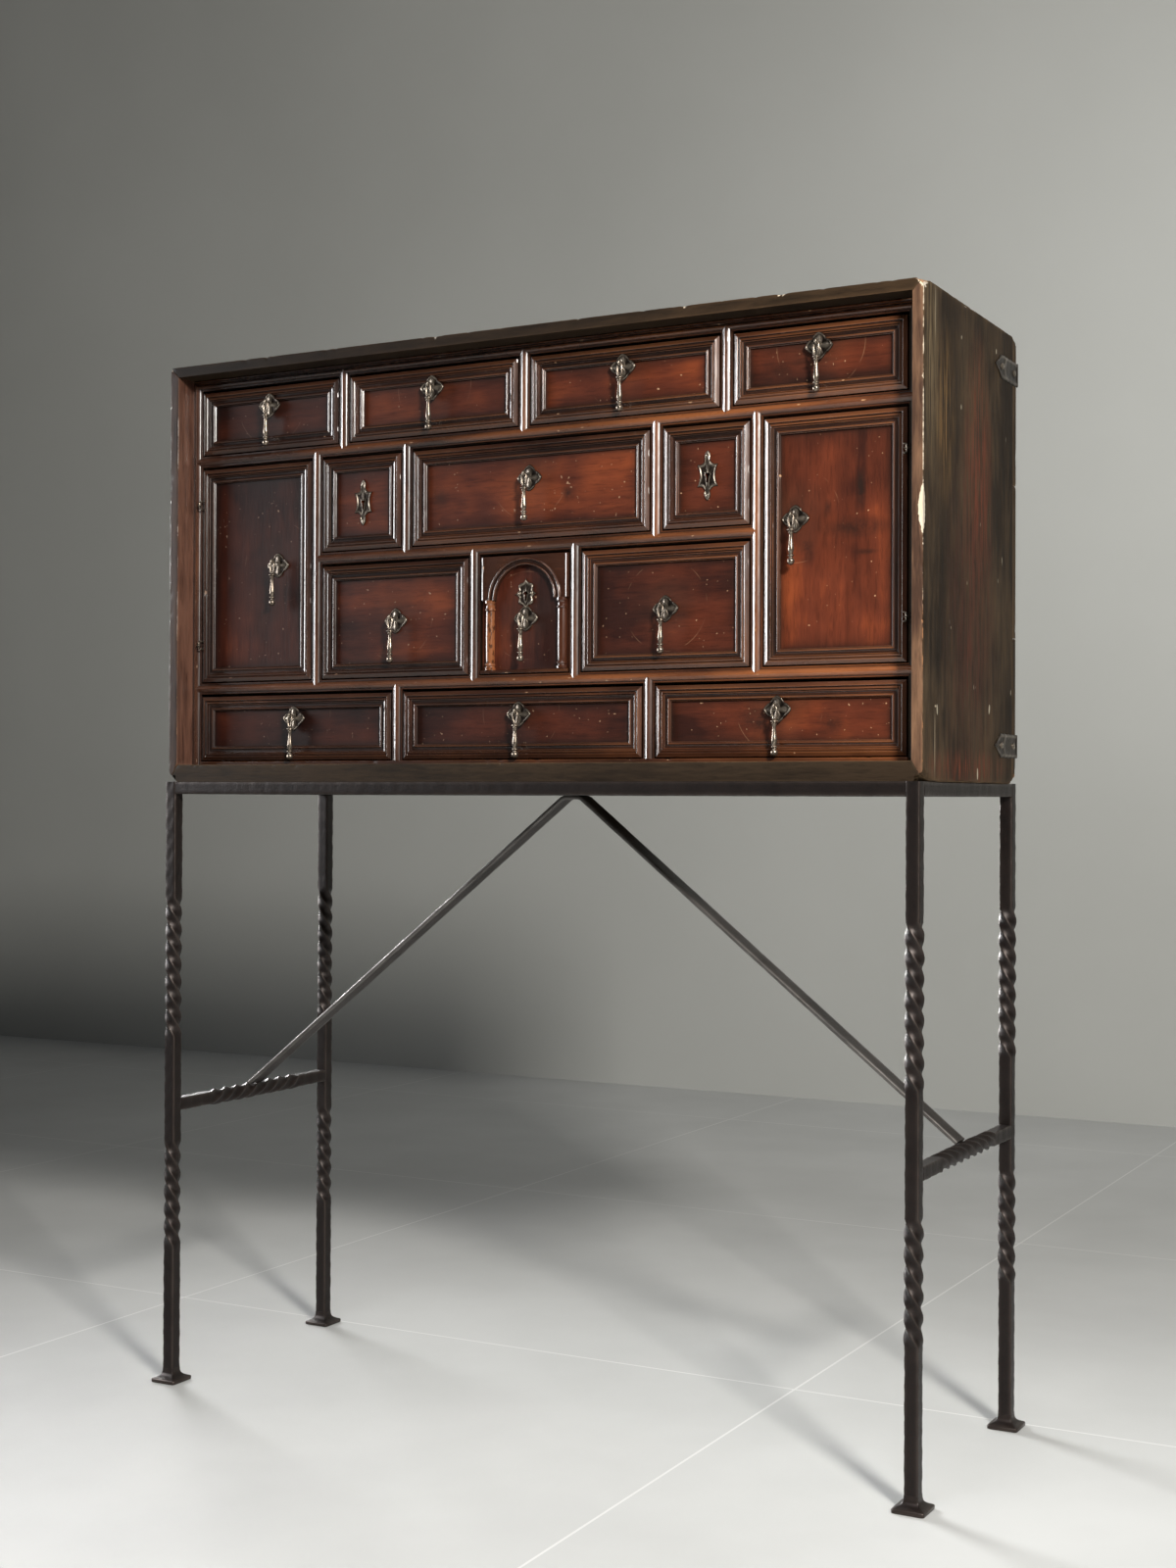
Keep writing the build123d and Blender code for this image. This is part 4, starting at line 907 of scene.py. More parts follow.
def make_back():
    """The back of the case: three level planks, nailed round their edges."""
    rng = np.random.default_rng(12)
    mesh = Mesh()
    low, high = node_box("back_board")
    joints = [low[2], low[2] + 176.0, low[2] + 361.0, high[2]]
    end_grain = {(0, 0): 2, (0, 1): 2, (2, 1): 2}
    for bottom, top in zip(joints, joints[1:]):
        slab(mesh, rng, (low[0], low[1], bottom + 0.3), (high[0], high[1], top - 0.3), soft=1.0,
             nicks=10, cuts=CORNER_CUTS, face_slots=end_grain)
    nail = [(3.2, -0.5), (3.2, 0.3), (2.4, 0.9), (0.2, 1.1)]
    for bottom, top in zip(joints, joints[1:]):
        for x in (low[0] + 7, high[0] - 7):
            for z in np.linspace(bottom + 22, top - 22, 3):
                lathe(mesh, nail, (x, high[1] - 1.2, z), 12, (X, -Z, Y), slot=1)
    make_piece("back_board", mesh, (inner_x, plate_iron, case_side))


# ---- Mouldings -------------------------------------------------------------------------


def moulding_outline():
    """A gabled nose between two flat shoulders, as (across, out, wear, grime and painted shade) points."""
    width, half = MOULDING_WIDTH, MOULDING_WIDTH / 2
    nose = []
    for i in range(15):
        turn = math.pi * i / 14
        gable = (1.01 - math.hypot(math.cos(turn), 0.14)) / 0.87
        nose.append((half - 4.95 * math.cos(turn), 4.8 + 3.15 * (0.4 * math.sin(turn) + 0.6 * gable),
                     math.sin(turn) ** 1.5, 0.9 * (1 - math.sin(turn)) ** 3))
    left = [(0, 0, 0, 1), (0, 4.0, 0, 0.4), (0.4, 4.7, 0.4, 0), (1.4, 4.8, 0.2, 0.1), (2.0, 4.7, 0, 0.9)]
    right = [(width - a, d, w, m) for a, d, w, m in reversed(left)]
    return left + nose + right


def pointed(z0, step):
    """The start or end of a strip that points in a V to the middle line of another."""
    return lambda a: z0 + step * np.abs(a - MOULDING_WIDTH / 2)


def flat_end(z0):
    """The start or end of a strip cut square."""
    return lambda a: z0 + 0 * a


def rail_lines():
    """The centre lines of the rails and uprights, read from the fronts between them."""
    small = node_box("small_left_drawer")
    arch = node_box("arch_drawer")
    foot = node_box("base_drawer_2")
    half = MOULDING_WIDTH / 2
    side, head = 2.0, 3.5  # the play beside and over a front
    upper = small[1][2] + head + half
    middle = arch[1][2] + head + half
    lower = foot[1][2] + head + half
    uprights = {
        "top": [node_box(f"top_drawer_{i}")[1][0] + side + half for i in (1, 2, 3)],
        "posts": [small[0][0] - side - half, node_box("small_right_drawer")[1][0] + side + half],
        "small": [small[1][0] + side + half, node_box("small_right_drawer")[0][0] - side - half],
        "arch": [arch[0][0] - side - half, arch[1][0] + side + half],
        "base": [foot[0][0] - side - half, foot[1][0] + side + half],
    }
    return upper, middle, lower, uprights


def make_mouldings():
    """The stiles, the top moulding, the foot strip, the rails and the dividers."""
    rng = np.random.default_rng(21)
    outline = moulding_outline()
    upper, middle, lower, uprights = rail_lines()
    half = MOULDING_WIDTH / 2
    stile = INNER_HALF - half

    def upright(mesh, x, start, end, slot=1):
        strip(mesh, rng, (x - half, MOULDING_BACK, 0), Z, X, outline, start, end, slot, 2.6, nicks=5)

    def level(mesh, z, start, end, nicks=5.0):
        strip(mesh, rng, (0, MOULDING_BACK, z - half), X, Z, outline, start, end, nicks=nicks)

    frame_mesh = Mesh()
    # The right stile takes slot 2, the darker look, as painted shade behind the right board's front edge.
    for side, slot, outer in ((-1, 1, 0.0), (1, 2, MOULDING_WIDTH)):
        upright(frame_mesh, side * stile, flat_end(INNER_BOTTOM),
                lambda a, outer=outer: INNER_TOP - np.abs(a - outer), slot)
    strip(frame_mesh, rng, (0, MOULDING_BACK, INNER_TOP), X, -Z, stepped_top_outline(),
          lambda a: -INNER_HALF + a, lambda a: INNER_HALF - a, nicks=7)
    foot_end, foot_top = INNER_HALF - MOULDING_WIDTH, INNER_BOTTOM + 4.5
    slab(frame_mesh, rng, (-foot_end, FACE_Y, INNER_BOTTOM), (foot_end, MOULDING_BACK, foot_top),
         soft=0.7, nicks=14, along=0)
    make_piece("frame_mouldings", frame_mesh, (moulding_x, moulding_z, dark_and_shaded_z))

    rails = Mesh()
    left_post, right_post = uprights["posts"]
    level(rails, upper, pointed(-stile, 1), pointed(stile, -1))
    level(rails, middle, pointed(left_post, 1), pointed(right_post, -1))
    level(rails, lower, pointed(-stile, 1), pointed(stile, -1), 7)
    spans = (("top", upper, INNER_TOP - half), ("posts", lower, upper), ("small", middle, upper),
             ("arch", lower, middle))
    for row, bottom, top in spans:
        for x in uprights[row]:
            upright(rails, x, pointed(bottom, 1), pointed(top, -1))
    for x in uprights["base"]:
        upright(rails, x, flat_end(foot_top), pointed(lower, -1))
    make_piece("rail_and_divider_mouldings", rails, (moulding_x, moulding_z))


def stepped_top_outline():
    """The top moulding: a nose below and two reeds stepping up to the top board."""
    width = MOULDING_WIDTH
    points = [(0, 0, 0, 1), (0, 4.2, 0, 0.9)]
    points += arc_points(0.4, 4.6, 3.2, 4.8, 1.3, 5, (0.2, 0.7), 0.8)
    points += [(3.4, 4.8, 0, 0.9)]
    points += arc_points(3.6, 4.8, 6.0, 4.9, 1.1, 4, (0.2, 0.7), 0.8)
    points += [(6.2, 4.9, 0, 0.9)]
    points += arc_points(6.4, 5.0, width - 2.4, 4.8, 2.9, 8, (0.3, 1.0), 0.7)
    points += [(width - 2.0, 4.7, 0, 0.9), (width - 0.4, 4.7, 0.5, 0.0), (width, 4.2, 0.2, 0.2),
               (width, 0, 0, 1)]
    return points


# ---- Framed fronts ---------------------------------------------------------------------


def frame_outline():
    """A front's frame strip: two reeds that slope outwards, a small one, a cove and an inner bead."""
    points = [(0, 0, 0, 1), (0, 4.5, 0.1, 0.5), (0.25, 5.0, 0.5, 0.1), (1.7, 5.75, 0.4, 0.0),
              (3.3, 6.55, 0.6, 0.0), (4.1, 7.1, 1.0, 0.0), (4.7, 7.4, 1.0, 0.0), (5.2, 7.1, 0.7, 0.0),
              (5.5, 6.1, 0.2, 0.4), (5.65, 5.1, 0, 1), (5.9, 4.85, 0, 0.8), (6.2, 5.0, 0.4, 0.1),
              (7.3, 5.55, 0.5, 0.0), (8.1, 6.0, 0.9, 0.0), (8.6, 6.05, 0.9, 0.0), (8.95, 5.6, 0.5, 0.1)]
    points += [(9.15, 4.7, 0, 0.7), (9.25, 4.0, 0, 1)]
    points += arc_points(9.4, 3.9, 11.0, 3.2, 0.75, 4, (0.1, 0.8), 0.5)
    points += [(11.2, 2.9, 0, 0.9), (12.2, 2.65, 0, 0.5), (13.2, 2.65, 0, 0.4), (14.3, 3.0, 0, 0.8)]
    points += arc_points(14.5, 3.1, 17.4, 2.9, 1.55, 6, (0.1, 1.0), 0.4)
    points += [(17.6, 2.6, 0, 1), (18.0, 2.7, 0.7, 0), (18.4, 2.3, 0.5, 0.2), (FRAME_WIDTH, 0, 0, 1)]
    return points


def front_frame(mesh, rng, low, high):
    """The four mitred strips round a front. Slot 0 runs along X, slots 1 and 5 along Z; slot 5, on a right
    strip beside the right board, is painted darker as shade.
    """
    left, bottom, right, top = low[0], low[2], high[0], high[2]
    beside_case = right > INNER_HALF - 2 * MOULDING_WIDTH
    outline = frame_outline()
    runs = (
        ((left, PANEL_Y, bottom), X, Z, right - left, 0),
        ((right, PANEL_Y, bottom), Z, -X, top - bottom, 5 if beside_case else 1),
        ((left, PANEL_Y, top), X, -Z, right - left, 0),
        ((left, PANEL_Y, bottom), Z, X, top - bottom, 1),
    )
    for origin, along, across, length, slot in runs:
        strip(mesh, rng, origin, along, across, outline, lambda a: a,
              lambda a, length=length: length - a, slot, 3.2, wobble=0.05, depth=0.45)


def drawer_box(mesh, rng, low, high):
    """The sides, back and bottom of a drawer, with slot 3 along X and slot 4 along Y."""
    left, back, floor = low[0], high[1], low[2]
    right, wall_bottom, wall_top = high[0], floor + BOX_FLOOR, high[2] - 4.0
    walls = (
        ((left, FRONT_BACK_Y, wall_bottom), (left + BOX_WALL, back, wall_top), 4),
        ((right - BOX_WALL, FRONT_BACK_Y, wall_bottom), (right, back, wall_top), 4),
        ((left + BOX_WALL, back - BOX_WALL, wall_bottom), (right - BOX_WALL, back, wall_top), 3),
        ((left, FRONT_BACK_Y, floor), (right, back, wall_bottom), 4),
    )
    for wall_low, wall_high, slot in walls:
        slab(mesh, rng, wall_low, wall_high, slot, step=30.0, soft=0.6, nicks=1.5)


def make_front(name, seed, hole=None, pivot=None, door=False):
    """A drawer or door: frame, panel and, for a drawer, its box."""
    rng = np.random.default_rng(seed)
    low, high = node_box(name)
    front_low = low + (0, 0, 0.0 if door else FRONT_LIFT)
    mesh = Mesh()
    front_frame(mesh, rng, front_low, high)
    slab(mesh, rng, (low[0], PANEL_Y, front_low[2]), (high[0], FRONT_BACK_Y, high[2]), 2, step=5.0,
         soft=0.5, hole=hole, pivot=pivot, border=FRAME_WIDTH)
    if not door:
        drawer_box(mesh, rng, low, high)
    materials = (frame_x, frame_z, panel_z if door else panel_x, inner_x, inner_y, frame_dull_shaded)
    make_piece(name, mesh, materials)


# ---- Forged plates ---------------------------------------------------------------------


def arcs(points, bulge):
    """A closed outline through points in the front's plane, with each side an arc that bows out.

    bulge is how far each side bows out from the middle, or one value for each side.
    """
    points = np.asarray(points, float)
    bulges = np.broadcast_to(np.asarray(bulge, float), (len(points),))
    out = []
    for a, b, rise in zip(points, np.roll(points, -1, axis=0), bulges):
        t = np.linspace(0, 1, 9)[:-1, None]
        side = np.array([b[1] - a[1], a[0] - b[0]]) / np.linalg.norm(b - a)
        side *= np.sign(np.dot(side, (a + b) / 2)) or 1.0
        out.append(a + (b - a) * t + side * rise * 4 * t * (1 - t))
    return np.concatenate(out)


PLATE_RINGS = (0, 0.13, 0.26, 0.4, 0.53, 0.64, 0.73, 0.8, 0.85, 0.89, 0.93, 0.97, 1)


def plate(mesh, rng, x, z, back_y, outline, relief, hole=None):
    """A forged plate: an outline round a middle or a hole, with a hammered relief on its front."""
    angle = np.unwrap(np.arctan2(outline[:, 1], outline[:, 0]))
    inner = outline * 0.02
    if hole is not None:
        inner = np.column_stack([np.cos(angle), np.sin(angle)]) * hole(angle)[:, None]
    t = np.array(PLATE_RINGS)[:, None]
    flat = inner + (outline - inner) * t[..., None]
    height = PLATE_THICK * np.clip(relief(t, angle, np.linalg.norm(outline, axis=1)), 0.25, None)
    height = height + ripple(rng, flat[..., 0] * 3, flat[..., 1] * 3, 0.12, 11.0)
    height[-1] = 0.45
    under = flat[[-1] if hole is None else [0, -1]]
    front = placed((x, back_y, z), (flat[..., 0], X), (flat[..., 1], Z), (height, -Y))
    back = placed((x, back_y, z), (under[..., 0], X), (under[..., 1], Z))
    rings, count = height.shape
    faces = tube_faces(rings, count, caps=False)
    edge, base = (rings - 1) * count, rings * count
    outer = base + (len(under) - 1) * count
    for i in range(count):
        j = (i + 1) % count
        faces.append((edge + i, edge + j, outer + j, outer + i))
        if hole is not None:
            faces.append((j, i, base + i, base + j))
            faces.append((outer + i, outer + j, base + j, base + i))
    if hole is None:
        faces.append(tuple(range(count)))
        faces.append(tuple(range(outer, outer + count)))
    wear = np.clip((height - 0.55 * PLATE_THICK) / (0.9 * PLATE_THICK), 0, 1)
    grime_and_shade = np.clip((0.62 * PLATE_THICK - height) / (0.5 * PLATE_THICK), 0, 0.8)
    clean = np.zeros(under.shape[:-1])
    mesh.add(np.concatenate([front, back]), faces, 0, np.concatenate([wear, clean]),
             np.concatenate([grime_and_shade, clean]))


def leaf_relief(t, angle, reach):
    """Four swelling leaves with thin raised rims, deep cuts between them and a domed middle."""
    rim = np.exp(-(((t - 0.91) / 0.055) ** 2))
    lobe = np.abs(np.sin(2 * angle))
    cut = np.exp(-(((1 - lobe) / 0.12) ** 2)) * np.clip(1.6 * t, 0, 1) * np.clip((1 - t) / 0.08, 0, 1)
    swell = np.exp(-((lobe / 0.6) ** 2)) * np.exp(-(((t - 0.52) / 0.24) ** 2))
    dome = np.exp(-((t / 0.3) ** 2))
    return 0.5 + 0.7 * rim + 0.7 * swell + 0.8 * dome - 0.6 * cut


PLATE_TIPS = [(17, 0), (8.2, 8.2), (0, 16), (-8.2, 8.2), (-17, 0), (-8.2, -8.2), (0, -16), (8.2, -8.2)]


def pivot_place(drop):
    """The place, across and up, that a drop turns round."""
    low, high = node_box(drop)
    return (low[0] + high[0]) / 2, high[2] - LOOP_OVER


def handle_mount(mesh, rng, drop, back_y=PANEL_Y):
    """The plate and the eye that holds a drop, with the eye's two legs clinched behind."""
    x, eye_z = pivot_place(drop)
    plate(mesh, rng, x, eye_z - PLATE_RISE, back_y, arcs(PLATE_TIPS, 1.3), leaf_relief)
    ring, thick = 2.63, 1.28
    wire(mesh, circle((x, PIVOT_Y, eye_z), -Y, Z, ring, 20), thick, 10, 0.8, X, closed=True)
    lathe(mesh, [(3.6, 0), (3.4, 0.7), (2.5, 1.0), (1.6, 1.0)], (x, back_y - 1.5, eye_z), 16, (X, Z, -Y))
    leg = ((0.75, PIVOT_Y + ring), (0.75, PANEL_Y), (0.75, FRONT_BACK_Y - 0.6),
           (1.4, FRONT_BACK_Y + 0.6), (3.4, FRONT_BACK_Y + 0.8), (6.9, FRONT_BACK_Y + 0.75))
    for side in (-1, 1):
        route = smooth_path([(x + side * aside, y, eye_z) for aside, y in leg], 22)
        wire(mesh, route, np.linspace(0.9, 0.65, 22), 8, 0.4, Z)


def drop_profile():
    """The turned drop below its loop, as (radius, height) from the pivot."""
    return [
        (0.3, -14.6), (1.7, -14.8), (2.2, -15.6), (3.7, -16.1), (4.4, -17.0), (4.35, -17.8),
        (3.4, -18.5), (2.5, -18.9), (2.5, -19.3), (3.1, -19.8), (3.0, -20.6), (2.3, -21.4),
        (2.05, -22.6), (2.1, -26.0), (2.35, -29.5), (2.75, -33.0), (3.15, -36.0), (3.4, -38.3),
        (3.3, -40.2), (2.8, -42.2), (2.2, -43.6), (2.1, -44.2), (2.7, -44.6), (3.55, -45.3),
        (3.6, -46.1), (3.1, -46.9), (2.2, -47.5), (2.1, -48.3), (2.8, -49.1), (3.7, -50.4),
        (4.1, -52.0), (4.0, -53.6), (3.3, -55.1), (2.0, -56.2), (1.0, -56.6), (0.3, -56.7),
    ]


def handle_drop(name, seed):
    """A turned iron drop on a wire loop bent like a figure nine."""
    rng = np.random.default_rng(seed)
    x, top = pivot_place(name)
    mesh = Mesh()
    turn = np.linspace(0, 2 * math.pi, 44, endpoint=False)
    half, length = 3.35, 15.3
    sunk = (1 - np.cos(turn)) / 2
    sway = rng.uniform(-0.35, 0.35)
    bow = np.sign(np.sin(turn)) * np.abs(np.sin(turn)) ** 0.85
    route = placed((x, PIVOT_Y, top - length / 2), (half * bow * (1 - 0.22 * sunk) + sway * sunk, X),
                   (length / 2 * np.cos(turn), Z))
    wire(mesh, route, 1.2 + 0.12 * sunk, 10, 0.9, Y, closed=True)
    lathe(mesh, drop_profile(), (x, PIVOT_Y, top), 22, wear=0.85, rng=rng, uneven=0.012)
    make_piece(name, mesh, (drop_iron,), 50)


def keyhole(angle):
    """How far a keyhole's edge is from the middle of the plate, by direction."""
    up, side = np.sin(angle), np.abs(np.cos(angle))
    bow = 3.3 * np.sqrt(np.clip(1 - (up - 0.2) ** 2 * 0.4, 0.1, 1))
    slot_reach = np.minimum(1.6 / np.clip(side, 0.05, None), 8.5)
    return np.where(up < -0.25, np.clip(slot_reach, 2.0, 8.5), np.clip(bow, 2.4, 4.2))


def lock_relief(t, angle, reach):
    """A flat plate with a chased rim and a swelling towards each leaf."""
    rim = np.exp(-(((t - 0.84) / 0.11) ** 2))
    lip = np.exp(-((t / 0.13) ** 2))
    return 0.5 + 0.7 * rim + 0.4 * lip + 0.3 * np.clip((reach - 14) / 12, 0, 1)


def mirrored(half, bows):
    """A plate's outline from its right half, top to bottom, and from how far each side bows out."""
    return arcs(half + [(-x, z) for x, z in reversed(half[1:-1])], bows * 2)


LEAF_PLATE = mirrored([(0, 29), (2.6, 18), (13, 13), (13, -13), (2.6, -18), (0, -29)],
                      [2.0, -2.2, -3.6, -2.2, 2.0])
CROWN_PLATE = mirrored(
    [(0, 18.5), (4.5, 13.5), (9.0, 5.0), (15.5, 0), (9.0, -5.0), (4.5, -13.5), (0, -18.5)],
    [-0.8, 3.4, -1.0, -1.0, 3.4, -0.8],
)


def add_lock(mesh, rng, middle, outline, rivets):
    """A lock plate with its keyhole, a rivet at each place, and the iron case behind the board."""
    x, z = middle
    plate(mesh, rng, x, z, PANEL_Y, outline, lock_relief, keyhole)
    for aside, up in rivets:
        head = [(1.9, 0), (1.8, 0.6), (1.2, 1.1), (0.2, 1.3)]
        lathe(mesh, head, (x + aside, PANEL_Y - 1.2, z + up), 12, (X, Z, -Y), wear=1.0)
    low, high = middle - LOCK_HALF, middle + LOCK_HALF
    slab(mesh, rng, (low[0], FRONT_BACK_Y, low[1]), (high[0], FRONT_BACK_Y + 9.0, high[1]), soft=0.7)


def make_locks():
    """The lock plates and cases of the two small drawers."""
    for seed, name in enumerate(("small_left_drawer_lock", "small_right_drawer_lock")):
        mesh = Mesh()
        add_lock(mesh, np.random.default_rng(300 + seed), node_middle(name), LEAF_PLATE,
                 ((0, 23.2), (0, -23.2)))
        make_piece(name, mesh, (plate_iron,))


def keyhole_in(middle):
    """The opening in a board behind a keyhole, as (x0, x1, z0, z1)."""
    low, high = middle - KEYHOLE_HALF, middle + KEYHOLE_HALF
    return low[0], high[0], low[1], high[1]


# ---- Drawers and their handles ---------------------------------------------------------

FRAMED = [f"top_drawer_{i}" for i in (1, 2, 3, 4)] + [
    "small_left_drawer", "middle_drawer", "small_right_drawer", "third_row_left_drawer",
    "third_row_right_drawer",
] + [f"base_drawer_{i}" for i in (1, 2, 3)]


def make_drawers():
    """The framed drawers, with their plates and drops or their locks."""
    for seed, name in enumerate(FRAMED):
        drop, mount = f"{name}_handle_drop", f"{name}_handle_plate"
        if drop not in NODES:
            make_front(name, 100 + seed, hole=keyhole_in(node_middle(f"{name}_lock")))
            continue
        pivot = pivot_place(drop)
        make_front(name, 100 + seed, pivot=pivot)
        over_frame = pivot[1] - PLATE_RISE + 16 > node_box(name)[1][2] - FRAME_WIDTH
        mesh = Mesh()
        handle_mount(mesh, np.random.default_rng(200 + seed), drop, PANEL_Y - 4.7 * over_frame)
        make_piece(mount, mesh, (plate_iron,), 40)
        handle_drop(drop, 230 + seed)
    make_locks()


def make_doors():
    """The two cupboard doors, with plates, drops and hinge staples."""
    for seed, (name, side) in enumerate((("left_door", -1), ("right_door", 1))):
        drop = f"{name}_handle_drop"
        make_front(name, 150 + seed, pivot=pivot_place(drop), door=True)
        mesh = Mesh()
        handle_mount(mesh, np.random.default_rng(260 + seed), drop)
        pin_x, arm_x = side * HINGE_X, side * (HINGE_X - 3.2)
        half = ((arm_x, -134.2, 5), (arm_x, -142.5, 5), (arm_x + side * 0.7, HINGE_Y, 5),
                (pin_x, HINGE_Y, 4), (pin_x, HINGE_Y, 2))
        for height in hinge_heights():
            bends = [(x, y, height - v) for x, y, v in half] + [(x, y, height + v) for x, y, v in half[::-1]]
            wire(mesh, smooth_path(bends, 46), 0.98, 8, 0.6, (0.3, 0.2, 1))
        make_piece(f"{name}_ironwork", mesh, (plate_iron,), 40)
        handle_drop(drop, 270 + seed)


def hinge_heights():
    """The heights of the hinges, 50 mm in from the ends of the doors' opening."""
    low, high = node_box("door_hinge_eyes")
    return low[2] + 1.0, high[2] - 1.0


def make_hinge_eyes():
    """The wire eyes in the stiles, round the pins of the doors' staples."""
    mesh = Mesh()
    ring = 2.08
    for side in (-1, 1):
        for height in hinge_heights():
            eye = circle((side * HINGE_X, HINGE_Y, height), X, Y, ring, 18)
            wire(mesh, eye, 0.99, 8, 0.6, Z, closed=True)
            shank = [(side * (HINGE_X + ring), HINGE_Y + v, height) for v in (0, 3, 6, 9.8)]
            wire(mesh, shank, 0.9, 8, 0.3, Z)
    make_piece("door_hinge_eyes", mesh, (plate_iron,), 40)


# ---- Arched drawer ---------------------------------------------------------------------


def column_profile(foot, top):
    """Half a column: base rings, a swelling shaft and a capital, as (radius, height)."""
    shaft_foot, shaft_top = foot + 10.0, top - 13.0
    points = [(0.2, foot), (7.2, foot), (7.3, foot + 2.6), (6.2, foot + 3.4), (5.9, foot + 4.6),
              (6.9, foot + 5.4), (7.3, foot + 6.6), (6.9, foot + 7.8), (5.7, foot + 8.6)]
    for i in range(9):
        t = i / 8
        points.append((5.6 + 0.55 * math.sin(math.pi * (0.15 + 0.7 * t)),
                       shaft_foot + (shaft_top - shaft_foot) * t))
    points += [(6.9, top - 12.2), (7.2, top - 11.2), (6.9, top - 10.2), (5.9, top - 9.4),
               (5.8, top - 6.0), (6.2, top - 4.4), (7.2, top - 3.4), (7.3, top), (0.2, top)]
    return points


def make_arch():
    """The arched drawer: box and panel, then spandrels, arch, half columns and foot strip."""
    rng = np.random.default_rng(170)
    low, high = node_box("arch_drawer")
    bottom, drop = low[2] + FRONT_LIFT, "arch_drawer_handle_drop"
    middle_x = (low[0] + high[0]) / 2
    crown_reach = 18.5
    lock = np.array([middle_x, node_box("arch_drawer_ironwork")[1][2] - crown_reach])
    mesh = Mesh()
    slab(mesh, rng, (low[0], PANEL_Y, bottom), (high[0], FRONT_BACK_Y, high[2]), step=6.0, soft=0.5,
         hole=keyhole_in(lock), pivot=pivot_place(drop))
    drawer_box(mesh, rng, low, high)
    make_piece("arch_drawer", mesh, (panel_z, panel_z, panel_z, inner_x, inner_y))
    make_surround(rng, middle_x, bottom, low, high)

    ironwork = Mesh()
    handle_mount(ironwork, rng, drop)
    add_lock(ironwork, rng, lock, CROWN_PLATE, ((-8.5, 0.5), (8.5, 0.5)))
    make_piece("arch_drawer_ironwork", ironwork, (plate_iron,), 40)
    handle_drop(drop, 280)


def make_surround(rng, middle_x, bottom, low, high):
    """The spandrel board, the arch, the half columns, the foot strip and the edge strips."""
    surround = Mesh()
    radius, band, column_x, foot_height = 41.0, 9.5, 50.0, 4.5
    spring_z = high[2] - 2.5 - radius - band
    spandrel(surround, rng, middle_x, spring_z, radius, low[0], high[0], high[2])
    arch_moulding(surround, rng, middle_x, spring_z, radius, band)
    for side, slot in ((-1, 2), (1, 3)):
        profile = column_profile(bottom + foot_height, spring_z)
        lathe(surround, profile, (middle_x + side * column_x, PANEL_Y, 0), 22, slot=slot, wear=0.6,
              tone=0.3 + 0.3 * side, half=True, rng=rng, uneven=0.01)
    foot = [(0, 0, 0, 1), (0, 5.8, 0.5, 0), (0.8, 6.5, 1, 0), (2.2, 6.6, 1, 0), (3.6, 6.2, 0.8, 0),
            (4.4, 5.0, 0.3, 0.6), (foot_height, 0, 0, 1)]
    strip(surround, rng, (0, PANEL_Y, bottom), X, Z, foot, flat_end(low[0]), flat_end(high[0]), nicks=8)
    edge = [(0, 0, 0, 1), (0, 4.6, 0.2, 0.6), (0.5, 5.6, 0.8, 0), (1.5, 5.9, 1, 0), (2.5, 5.4, 0.7, 0),
            (2.9, 4.6, 0, 0.8), (2.9, 0, 0, 1)]
    for x, across in ((low[0] + 1.2, X), (high[0] - 1.2, -X)):
        strip(surround, rng, (x, PANEL_Y, 0), Z, across, edge, flat_end(spring_z + 0.5),
              flat_end(high[2] - 1.0), 1)
    make_piece("arch_surround", surround, (frame_x, frame_z, column_amber, column_dark))


def spandrel(mesh, rng, middle_x, spring_z, radius, left, right, top):
    """The board above the arch, cut out round it."""
    turn = np.linspace(0, math.pi, 49)
    around = np.column_stack([np.cos(turn), np.sin(turn)])
    half, rise = (right - left) / 2, top - spring_z
    reach = np.minimum(half / np.clip(np.abs(around[:, 0]), 1e-6, None),
                       rise / np.clip(around[:, 1], 1e-6, None))
    inner, outer = around * radius, around * reach[:, None]
    corner = math.atan2(rise, half)
    for target in (corner, math.pi - corner):
        nearest = int(np.argmin(np.abs(turn - target)))
        outer[nearest] = (math.copysign(half, math.cos(target)), rise)
    flat = inner + (outer - inner) * np.linspace(0, 1, 6)[:, None, None]
    under = placed((middle_x, PANEL_Y, spring_z), (flat[..., 0], X), (flat[..., 1], Z))
    thick = 4.4 - ripple(rng, flat[..., 0], flat[..., 1], 0.12, 30.0)
    sheet(mesh, placed(under, (thick, -Y)), under, 0.25, 0.1, 0.2)


def arch_moulding(mesh, rng, middle_x, spring_z, radius, band):
    """The round moulding of the arch: two beads with a hollow between them."""
    outline = [(0, 0, 0, 1), (0, 5.6, 0.5, 0.2)]
    outline += arc_points(0.1, 5.9, 2.6, 5.9, 1.0, 5, (0.4, 1.0), 0.2)
    outline += [(3.0, 5.3, 0, 0.9), (4.6, 5.0, 0, 0.5), (6.2, 5.2, 0, 0.8)]
    outline += arc_points(6.4, 5.7, 9.3, 5.5, 1.2, 5, (0.4, 1.0), 0.2)
    outline += [(band, 4.8, 0.2, 0.5), (band, 0, 0, 1)]
    a, d, wear, grime_and_shade = np.array(outline).T
    turn = np.linspace(0, math.pi, 90)[:, None]
    depth = d + ripple(rng, turn * radius, a * 2, 0.16, 17.0) * (d > 1)
    reach = radius + a
    points = placed((middle_x, PANEL_Y, spring_z), (reach * np.cos(turn), X), (depth, -Y),
                    (reach * np.sin(turn), Z))
    worn = wear * (0.6 + 0.4 * np.sin(turn * 9))
    mesh.add(points, tube_faces(len(turn), len(a)), 0, worn, grime_and_shade, 0, 0.8)


# ---- Corner straps ---------------------------------------------------------------------


